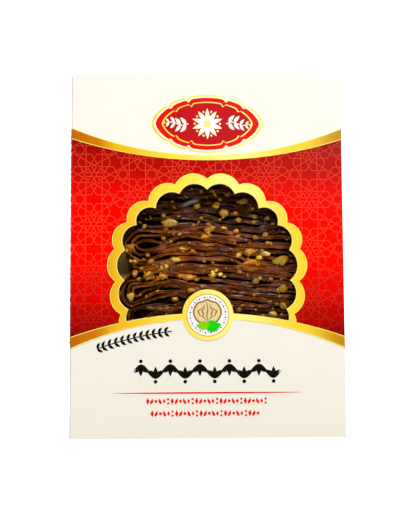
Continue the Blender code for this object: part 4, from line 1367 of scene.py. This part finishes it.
def makeRoll(index, material):
    # A strip carried along the settled path. Its profile runs from the back along the under
    # side, round the cut edge in fine steps and back along the upper side. The sheet is thinner
    # to the left and at its ends, and its colour is darker towards the right and the top: painted
    # shade for the pile's shaded top and right side.
    roll = leatherShape["rolls"][index]
    step = leatherShape["step" if index >= leatherShape["firstShown"] else "hiddenStep"]
    path, eye = rollPath(roll, rollBases[index], step)
    along = np.concatenate(([0], np.cumsum(np.hypot(*np.diff(path, axis=0).T))))[:, None]
    path = settle(path, eye, roll[4] * mm)
    ways = np.gradient(path, axis=0)
    normal = pointsOf(-ways[:, 1], ways[:, 0]) / np.hypot(*ways.T)[:, None]
    draw = np.random.default_rng(70 + index)
    thick = 1
    for amount, length in cutEdge["thickness"]:
        thick = thick + amount * sineNoise(draw, along, length * mm)
    thinner = cutEdge["thinLeft"]
    thick = thick[:, None] * (1 - thinner[0] + growing(path[:, :1], *thinner))
    ends = softStep(along, 0, cutEdge["taper"]) * softStep(along[-1] - along, 0, cutEdge["taper"])
    edge = np.linspace(-1, 1, 33)
    offset = np.concatenate(([-1, -1, -1], edge, [1, 1, 1]))
    depth = np.concatenate(([33, 8, 2.0], 0.30 * edge ** 6, [2.0, 8, 33])) * mm
    half = leatherShape["shownThickness"] / 2 * thick * ends * offset
    (ripple, rippleLength), (wave, waveLength) = cutEdge["ripple"], cutEdge["wave"]
    half = half + ripple * np.sin(along / rippleLength + index)
    x, z = np.moveaxis(path[:, None] + normal[:, None] * half[..., None], -1, 0)
    ragged = cutEdgeDepth(draw, along, offset)
    wave = wave * np.sin(along / waveLength + 2 * index)
    y = frontY(x, z) + wave + depth + ragged * np.exp(-depth / cutEdge["fadesBy"])
    y[:, [0, -1]] = leatherShape["back"]
    count = len(offset)
    acrossSteps, deepSteps = (np.diff(values, prepend=values[0]) for values in (offset * 0.8 * mm, depth))
    across = np.cumsum(np.hypot(acrossSteps, deepSteps))
    uv = pointsOf(along, across - across[count // 2]) * 100 + (index * 3.7, 0)
    # painted shade: the tone is darkened towards the right and the top
    tone = roll[5] * (1 - growing(x, *leatherShape["paintedShadeRight"])) * (1 - growing(z, *leatherShape["paintedShadeTop"]))
    layers = {"tone": np.repeat(tone.reshape(-1, 1), 3, axis=1), "syrup": syrupStain(x, z).ravel()}
    faces = gridFaces(len(path), count, closeColumns=True)
    surface = pointsOf(x, y, z)
    name = f"leatherRoll{index + 1}"
    piece = addPiece(name, surface, faces, material, "fruit_leather", uv=uv, layers=layers, sharp=70)
    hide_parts(f"leather_roll_{index + 1}")
    return surface[:, count // 2]


leatherMaterial = makeLeatherMaterial()
edgeLines = [makeRoll(index, leatherMaterial) for index in range(len(leatherShape["rolls"]))]
print("fruit leather ready")

# Walnut: chopped lumps, and crumbs at the cut edges

nutFinishes = {  # the skin's colour and the bare flesh's
    "bright": ((0.72, 0.50, 0.06), (0.94, 0.78, 0.19)), "pale": ((0.40, 0.245, 0.012), (0.56, 0.39, 0.042)),
    # the olive finish is a duller, darker copy of pale, used at the pile's shaded top and right: partly
    # painted shade
    "tan": ((0.46, 0.22, 0.018), (0.64, 0.37, 0.060)), "shadedOlive": ((0.31, 0.165, 0.010), (0.43, 0.26, 0.024)),
    "amber": ((0.54, 0.18, 0.003), (0.78, 0.35, 0.016)), "orange": ((0.78, 0.21, 0.001), (0.94, 0.43, 0.006)),
    "gold": ((0.95, 0.58, 0.018), (1.0, 0.84, 0.12)), "dark": ((0.16, 0.045, 0.002), (0.30, 0.11, 0.008)),
}
nutLook = {
    "grainShades": [(0.3, (0.72, 0.66, 0.58)), (0.6, (1.0, 1.0, 1.0)), (0.8, (1.15, 1.12, 1.05))],
    "pith": (0.88, 0.70, 0.20), "vein": (0.20, 0.09, 0.025), "syrup": (0.34, 0.095, 0.002),
    "sunkFrom": -0.8, "sunkTo": -0.2,
}


def makeWalnutMaterial():
    # Skin or bare cut flesh by the "cut" value, tinted by the piece's two colours. Over it come
    # pale pith on the cuts, the grain's shades, dark veins where a noise crosses its middle,
    # and syrup in patches and wherever the piece sinks in.
    coat = {"Coat_Weight": 0.35, "Coat_Roughness": 0.06}
    material, tree, shader = newMaterial("walnut", Specular_IOR_Level=0.08, **coat)
    cut, spot = marked(tree, "cut"), place(tree)
    grain = noiseAt(tree, spot, 900.0, 4.0, Roughness=0.6)
    patches = noiseAt(tree, spot, 420.0, 2.0)
    veins = noiseAt(tree, spot, 600.0, 2.0, Distortion=1.5)
    colour = mixColour(tree, cut, marked(tree, "skinTint", "Color"), marked(tree, "fleshTint", "Color"))
    pith = calculate(tree, "MULTIPLY", rescale(tree, veins, 0.48, 0.64, 0.0, 0.5), cut)
    colour = mixColour(tree, pith, colour, nutLook["pith"])
    shade = colourRamp(tree, grain, nutLook["grainShades"], smooth=False)
    colour = mixColour(tree, 1.0, colour, shade, "MULTIPLY")
    fromMiddle = calculate(tree, "ABSOLUTE", calculate(tree, "SUBTRACT", veins, 0.5))
    colour = mixColour(tree, rescale(tree, fromMiddle, 0.0, 0.035, 0.55, 0.0), colour, nutLook["vein"])
    sunk = calculate(tree, "MULTIPLY", marked(tree, "sunk"), 0.8)
    covered = calculate(tree, "MAXIMUM", rescale(tree, patches, 0.5, 0.68, 0.0, 0.55), sunk)
    feed(tree, shader.inputs["Base Color"], mixColour(tree, covered, colour, nutLook["syrup"]))
    feed(tree, shader.inputs["Roughness"], rescale(tree, patches, 0.4, 0.65, 0.62, 0.3))
    addRelief(tree, shader, grain, 0.7, 0.25 * mm)
    return material


def ball(level):
    # Even directions over a sphere and the triangles between them.
    bm = bmesh.new()
    bmesh.ops.create_icosphere(bm, subdivisions=level, radius=1)
    directions = np.array([v.co for v in bm.verts])
    triangles = np.array([[v.index for v in face.verts] for face in bm.faces])
    bm.free()
    return directions, triangles


nutCut = {
    "planes": 6, "sharpness": 10, "planesFrom": (0.55, 0.95), "cutFrom": (0.95, 1.08),
    "lobes": [(0.17, 2.4), (0.10, 1.1)], "lumps": [(0.065, 0.75), (0.03, 0.36)],  # height and size
}


def chopped(directions, draw):
    # A lobed ball cut by random planes: the reach along each direction is a soft minimum of
    # the ball's and the planes', with small lumps. Also says how far each spot is cut.
    def bumps(key, level):
        return sum((tall * sineNoise(draw, directions, size) for tall, size in nutCut[key]), level)

    planes, sharpness = nutCut["planes"], nutCut["sharpness"]
    normals = draw.normal(size=(planes, 3))
    normals /= np.linalg.norm(normals, axis=1)[:, None]
    near = np.maximum(directions @ normals.T, 0) / draw.uniform(*nutCut["planesFrom"], planes)
    lobes = bumps("lobes", 1)
    reach = (lobes ** -sharpness + (near ** sharpness).sum(axis=1)) ** (-1 / sharpness)
    cut = softStep(near.max(axis=1) * lobes, *nutCut["cutFrom"])
    return directions * (reach * (1 + bumps("lumps", 0)))[:, None], cut


def addNuts(name, triangles, points, shapes, cuts, finishes, material):
    # One piece of chopped balls. Points and shapes are (balls, points, 3): the shapes say how
    # far each spot is sunk, from 0 at the front to 1 where the side goes into the leather.
    count = points.shape[1]
    faces = triangles[None] + count * np.arange(len(points))[:, None, None]
    tints = np.repeat([nutFinishes[finish] for finish in finishes], count, axis=0)
    sunk = softStep(shapes[..., 1], nutLook["sunkFrom"], nutLook["sunkTo"])
    layers = {"cut": cuts.ravel(), "sunk": sunk.ravel(), "skinTint": tints[:, 0], "fleshTint": tints[:, 1]}
    return addPiece(name, points, faces, material, "walnut", layers=layers, sharp=180)


nutShape = {
    "frontReach": 1.3, "depth": 0.6, "leastDepth": 0.7, "set": 0.55, "setByHeight": 0.09, "grow": 1.04,
    "lumpStretch": (1.1, 0.8, 0.85), "lumpSet": 0.05, "crumbStretch": (1, 0.8, 0.85), "crumbKinds": 24,
    "crumbSpread": 0.65 * mm, "rimReach": (0.42, 0.60), "crumbSet": (-0.1, 0.7),
    "crumbSizes": (0.7, 1.25), "lumpSizes": (0.8, 1.2),
    "seen": (52 * mm, 56 * mm, 142 * mm),  # half the width, the lowest and the highest
}


def makeWalnuts(material):
    # Each larger piece is a chopped ball drawn out to its own width and height, shallow in
    # front and deep behind, and the taller it is, the further it stands out.
    shapeOf = nutShape
    directions, triangles = ball(5)
    for number, (x, z, width, tall, finish) in enumerate(walnuts):
        shape, cut = chopped(directions, np.random.default_rng(400 + number))
        shape /= abs(shape).max(axis=0)
        deep = shapeOf["depth"] * max(tall, shapeOf["leastDepth"] * width)
        scale = pointsOf(width / 2, np.where(shape[:, 1] < 0, shapeOf["frontReach"], deep), tall / 2)
        setBack = (shapeOf["set"] - shapeOf["setByHeight"] * tall) * mm
        centre = np.array((x * mm, float(frontY(x * mm, z * mm)) + setBack, z * mm))
        points = centre + shape * scale * mm * shapeOf["grow"]
        name = f"walnutPiece{number + 1}"
        piece = addNuts(name, triangles, points[None], shape[None], cut, [finish], material)
        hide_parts(f"walnut_piece_{number + 1}")


# Middling lumps seen at the cut edges: centre x and z, radius in millimetres, and finish
nutLumps = [
    (-34.6, 115.5, 1.5, "tan"), (-23.0, 113.5, 1.6, "dark"), (-15.2, 111.1, 1.4, "pale"),
    (1.2, 116.2, 1.5, "tan"), (0.8, 111.9, 1.7, "orange"), (-24.0, 108.8, 1.4, "tan"),
    (-20.0, 106.8, 1.3, "amber"), (-8.0, 101.3, 1.5, "amber"), (1.6, 102.8, 1.1, "pale"),
    (-32.8, 99.4, 1.2, "tan"), (-5.2, 126.9, 1.8, "pale"), (-19.0, 129.7, 0.9, "shadedOlive"),
    (-2.8, 135.6, 1.2, "shadedOlive"), (3.2, 135.8, 1.2, "shadedOlive"), (11.5, 133.6, 1.4, "shadedOlive"),
    (-24.0, 121.4, 1.6, "pale"), (6.0, 128.2, 1.6, "pale"), (15.9, 122.9, 1.5, "amber"),
    (25.4, 125.4, 1.3, "shadedOlive"), (33.8, 120.2, 1.7, "shadedOlive"), (17.5, 119.0, 1.8, "tan"),
    (9.1, 120.6, 0.9, "pale"), (26.2, 117.8, 1.3, "tan"), (36.6, 117.1, 1.0, "pale"),
    (3.2, 114.7, 1.4, "pale"), (9.5, 114.7, 1.4, "orange"), (15.9, 112.7, 1.5, "amber"),
    (26.3, 109.2, 1.8, "pale"), (17.1, 109.9, 1.4, "tan"), (15.1, 106.1, 1.2, "tan"),
    (33.8, 106.0, 1.5, "tan"), (22.3, 100.7, 1.8, "tan"), (17.1, 99.3, 1.6, "gold"),
    (-1.7, 96.1, 1.3, "tan"), (3.2, 95.4, 0.9, "pale"), (-22.5, 93.1, 1.9, "gold"),
    (-25.4, 92.4, 1.1, "gold"), (7.0, 88.6, 1.2, "gold"), (9.4, 87.4, 1.0, "gold"),
    (4.6, 91.0, 1.0, "gold"), (10.0, 92.0, 0.9, "tan"), (17.8, 90.2, 1.8, "tan"),
    (28.9, 86.7, 1.4, "shadedOlive"), (35.0, 86.2, 1.4, "tan"), (39.0, 79.8, 1.5, "tan"),
    (-27.4, 79.8, 1.0, "tan"), (-3.0, 81.9, 1.2, "pale"), (34.5, 73.6, 1.4, "tan"),
    (38.2, 72.3, 1.4, "shadedOlive"), (19.2, 71.5, 1.3, "tan"), (-36.0, 92.2, 1.2, "amber"),
    (-5.6, 85.8, 1.2, "amber"), (27.8, 94.0, 1.1, "orange"), (28.8, 97.8, 1.7, "gold"),
    (22.6, 99.9, 1.6, "orange"), (-14.0, 93.8, 0.9, "amber"), (30.4, 101.7, 1.5, "tan"),
    # the dark lump at x 46.8 lies in the shade at the pile's right: its dark finish is partly painted shade
    (46.8, 99.4, 1.8, "dark"), (-35.1, 96.9, 1.0, "pale"), (-14.6, 87.9, 1.3, "orange"),
]

crumbSets = {
    "coarseCrumbs": {"count": 190, "level": 2, "radius": (0.55, 1.15), "seed": 11,
                     "mix": {"tan": 5, "pale": 4, "amber": 5, "orange": 2, "dark": 3}},
    "fineCrumbs": {"count": 620, "level": 1, "radius": (0.16, 0.5), "seed": 12,
                   "mix": {"tan": 5, "pale": 3, "amber": 5, "orange": 3, "dark": 4}},
    "nutCrumbs": {"count": 110, "level": 2, "radius": (0.35, 0.95), "seed": 13,
                  "mix": {"tan": 3, "amber": 6, "orange": 2, "gold": 1, "dark": 2}},
}


def edgeSpots(draw, count):
    # Random places on the cut edges behind the window, a little above or below their middle.
    lines = np.concatenate(edgeLines[leatherShape["firstShown"]:])
    reach, low, high = nutShape["seen"]
    shown = lines[(abs(lines[:, 0]) < reach) & (lines[:, 2] > low) & (lines[:, 2] < high)]
    spots = shown[draw.integers(0, len(shown), count)]
    spots[:, 2] += draw.normal(0, nutShape["crumbSpread"], count)
    return spots


def nutSpots(draw, count):
    # Random places round the rims of the larger pieces that are clustered: on an ellipse of
    # about half the piece's width and height.
    clustered = [nut[:4] for nut in walnuts if nut[4] in leatherShape["syrupRound"]]
    x, z, width, tall = np.array(clustered)[draw.integers(0, len(clustered), count)].T * mm
    turn = draw.uniform(0, 2 * math.pi, count)
    reach = draw.uniform(*nutShape["rimReach"], count)
    x, z = x + reach * width * np.cos(turn), z + reach * tall * np.sin(turn)
    return pointsOf(x, frontY(x, z), z)


def makeCrumbs(name, values, material):
    # Small chopped bits stuck to the leather: each is one of 24 shapes, drawn out and placed.
    count, kinds = values["count"], nutShape["crumbKinds"]
    draw = np.random.default_rng(values["seed"])
    directions, triangles = ball(values["level"])
    centre = (nutSpots if name == "nutCrumbs" else edgeSpots)(draw, count)
    radius = draw.uniform(*values["radius"], count) * mm
    centre[:, 1] += draw.uniform(*nutShape["crumbSet"], count) * radius
    finishes = list(values["mix"])
    weights = np.array(list(values["mix"].values()), float)
    chosen = draw.choice(len(finishes), count, p=weights / weights.sum())
    shapes, cuts = (np.array(part) for part in zip(*(chopped(directions, draw) for _ in range(kinds))))
    pick = draw.integers(0, kinds, count)
    stretch = draw.uniform(*nutShape["crumbSizes"], (count, 1, 3)) * nutShape["crumbStretch"]
    points = centre[:, None] + shapes[pick] * stretch * radius[:, None, None]
    finishes = [finishes[number] for number in chosen]
    addNuts(name, triangles, points, shapes[pick], cuts[pick], finishes, material)


def makeLumps(material):
    # The middling lumps as one piece, each chopped in its own way and half sunk in the edge.
    draw = np.random.default_rng(21)
    directions, triangles = ball(4)
    shapes, cuts = (np.array(part) for part in zip(*(chopped(directions, draw) for _ in nutLumps)))
    x, z, radius = np.array([lump[:3] for lump in nutLumps]).T[..., None, None] * mm
    stretch = draw.uniform(*nutShape["lumpSizes"], (len(nutLumps), 1, 3)) * nutShape["lumpStretch"]
    centre = np.concatenate((x, frontY(x, z) + nutShape["lumpSet"] * radius, z), axis=2)
    points = centre + shapes * stretch * radius
    addNuts("walnutLumps", triangles, points, shapes, cuts, [lump[3] for lump in nutLumps], material)


walnutMaterial = makeWalnutMaterial()
makeWalnuts(walnutMaterial)
makeLumps(walnutMaterial)
for name, values in crumbSets.items():
    makeCrumbs(name, values, walnutMaterial)
print("walnut ready")

# Studio: a white sweep, soft lights, and the camera

studio = {
    "halfWidth": 2.2, "frontY": -2.4, "wallY": 1.15, "curve": 0.45, "wallTop": 2.4, "glow": 0.9,
    "camera": (-0.0238, -0.5175, 0.0567), "turn": (94.915, 0.278, -2.241), "lens": 64.48, "sensor": 36,
    "roomLight": (0.07, 0.07, 0.073), "roomMirrored": (0.010, 0.007, 0.003),
}
lights = {
    "key": {"place": (0.42, -1.00, 2.14), "aim": (0, 0, 0.10), "size": (0.7, 0.7), "power": 69,
            "colour": (1.0, 0.985, 0.955)},
    "front": {"place": (0.02, -1.28, 0.42), "aim": (0, 0, 0.10), "size": (0.20, 0.10), "power": 5.0,
              "colour": (1.0, 0.99, 0.97), "matt": True},
    "glare": {"place": (0.36, -1.25, 0.57), "aim": (0.06, 0, 0.15), "size": (0.24, 0.16), "power": 3.4,
              "colour": (1, 1, 1), "glossOnly": True},
    "rear": {"place": (0.45, 1.0, 0.75), "aim": (0, 0, 0.10), "size": (0.7, 0.5), "power": 9,
             "colour": (1, 1, 1)},
    "left": {"place": (-1.05, 0.28, 0.70), "aim": (0, 0, 0.10), "size": (0.7, 0.5), "power": 8,
             "colour": (1, 1, 1)},
}


def makeSweep():
    # Floor, quarter round and wall as one sheet along a path in the y-z plane.
    turn = np.linspace(0, math.pi / 2, 24)
    radius, wall = studio["curve"], studio["wallY"]
    floor = np.linspace(studio["frontY"], wall - radius, 30)[:-1]
    y = np.concatenate((floor, wall - radius + radius * np.sin(turn), [wall]))
    z = np.concatenate((0 * floor, radius * (1 - np.cos(turn)), [studio["wallTop"]]))
    x = np.linspace(-studio["halfWidth"], studio["halfWidth"], 20)
    points = pointsOf(x[None], y[:, None], z[:, None])
    mesh = bpy.data.meshes.new("sweep")
    mesh.from_pydata(points.reshape(-1, 3).tolist(), [], gridFaces(len(y), len(x)).tolist())
    mesh.shade_smooth()
    material, tree, shader = newMaterial("whiteSweep", Roughness=0.9, Specular_IOR_Level=0.1)
    shades = [(0.3, (0.32, 0.32, 0.32)), (0.7, (0.35, 0.35, 0.35))]
    feed(tree, shader.inputs["Base Color"], colourRamp(tree, noiseAt(tree, place(tree), 6.0, 3.0), shades))
    feed(tree, shader.inputs["Emission Color"], (1, 1, 1))
    seen = addNode(tree, "LightPath").outputs["Is Camera Ray"]
    feed(tree, shader.inputs["Emission Strength"], calculate(tree, "MULTIPLY", seen, studio["glow"]))
    mesh.materials.append(material)
    sweep = bpy.data.objects.new("sweep", mesh)
    bpy.context.scene.collection.objects.link(sweep)


def aimed(thing, spot, aim):
    # Stands a light at its spot and turns it to look at its aim.
    towards = np.array(aim, float) - np.array(spot, float)
    thing.location = spot
    flat = math.hypot(towards[0], towards[1])
    thing.rotation_euler = (math.atan2(flat, -towards[2]), 0, math.atan2(-towards[0], towards[1]))


def makeLights():
    # Rectangular lamps that the camera doesn't see; a matt one leaves no glint, and a glossOnly
    # one leaves nothing else. The room is white to the camera, dim as light on the object, and
    # nearly dark in reflections.
    for name, values in lights.items():
        light = bpy.data.lights.new(name, "AREA")
        light.shape = "RECTANGLE"
        light.size, light.size_y = values["size"]
        light.energy = values["power"]
        light.color = values["colour"]
        lamp = bpy.data.objects.new(name, light)
        bpy.context.scene.collection.objects.link(lamp)
        aimed(lamp, values["place"], values["aim"])
        lamp.visible_camera = False
        lamp.visible_glossy = not values.get("matt", False)
        lamp.visible_diffuse = not values.get("glossOnly", False)
    world = bpy.data.worlds.new("studioRoom")
    bpy.context.scene.world = world
    world.use_nodes = True
    tree = world.node_tree
    path = addNode(tree, "LightPath").outputs
    colour = mixColour(tree, path["Is Camera Ray"], studio["roomLight"], (1.0, 1.0, 1.0))
    colour = mixColour(tree, path["Is Glossy Ray"], colour, studio["roomMirrored"])
    feed(tree, tree.nodes["Background"].inputs["Color"], colour)


def makeCamera():
    # The photograph's view: where it stands, how it is turned in degrees, and its lens in mm.
    camera = bpy.data.cameras.new("camera")
    camera.sensor_fit = "VERTICAL"
    camera.sensor_height = studio["sensor"]
    camera.lens = studio["lens"]
    camera.clip_start = 0.01
    stand = bpy.data.objects.new("camera", camera)
    bpy.context.scene.collection.objects.link(stand)
    stand.location = studio["camera"]
    stand.rotation_euler = [math.radians(angle) for angle in studio["turn"]]
    bpy.context.scene.camera = stand


makeSweep()
makeLights()
makeCamera()
bpy.context.scene.view_settings.view_transform = "Standard"
print("studio ready")
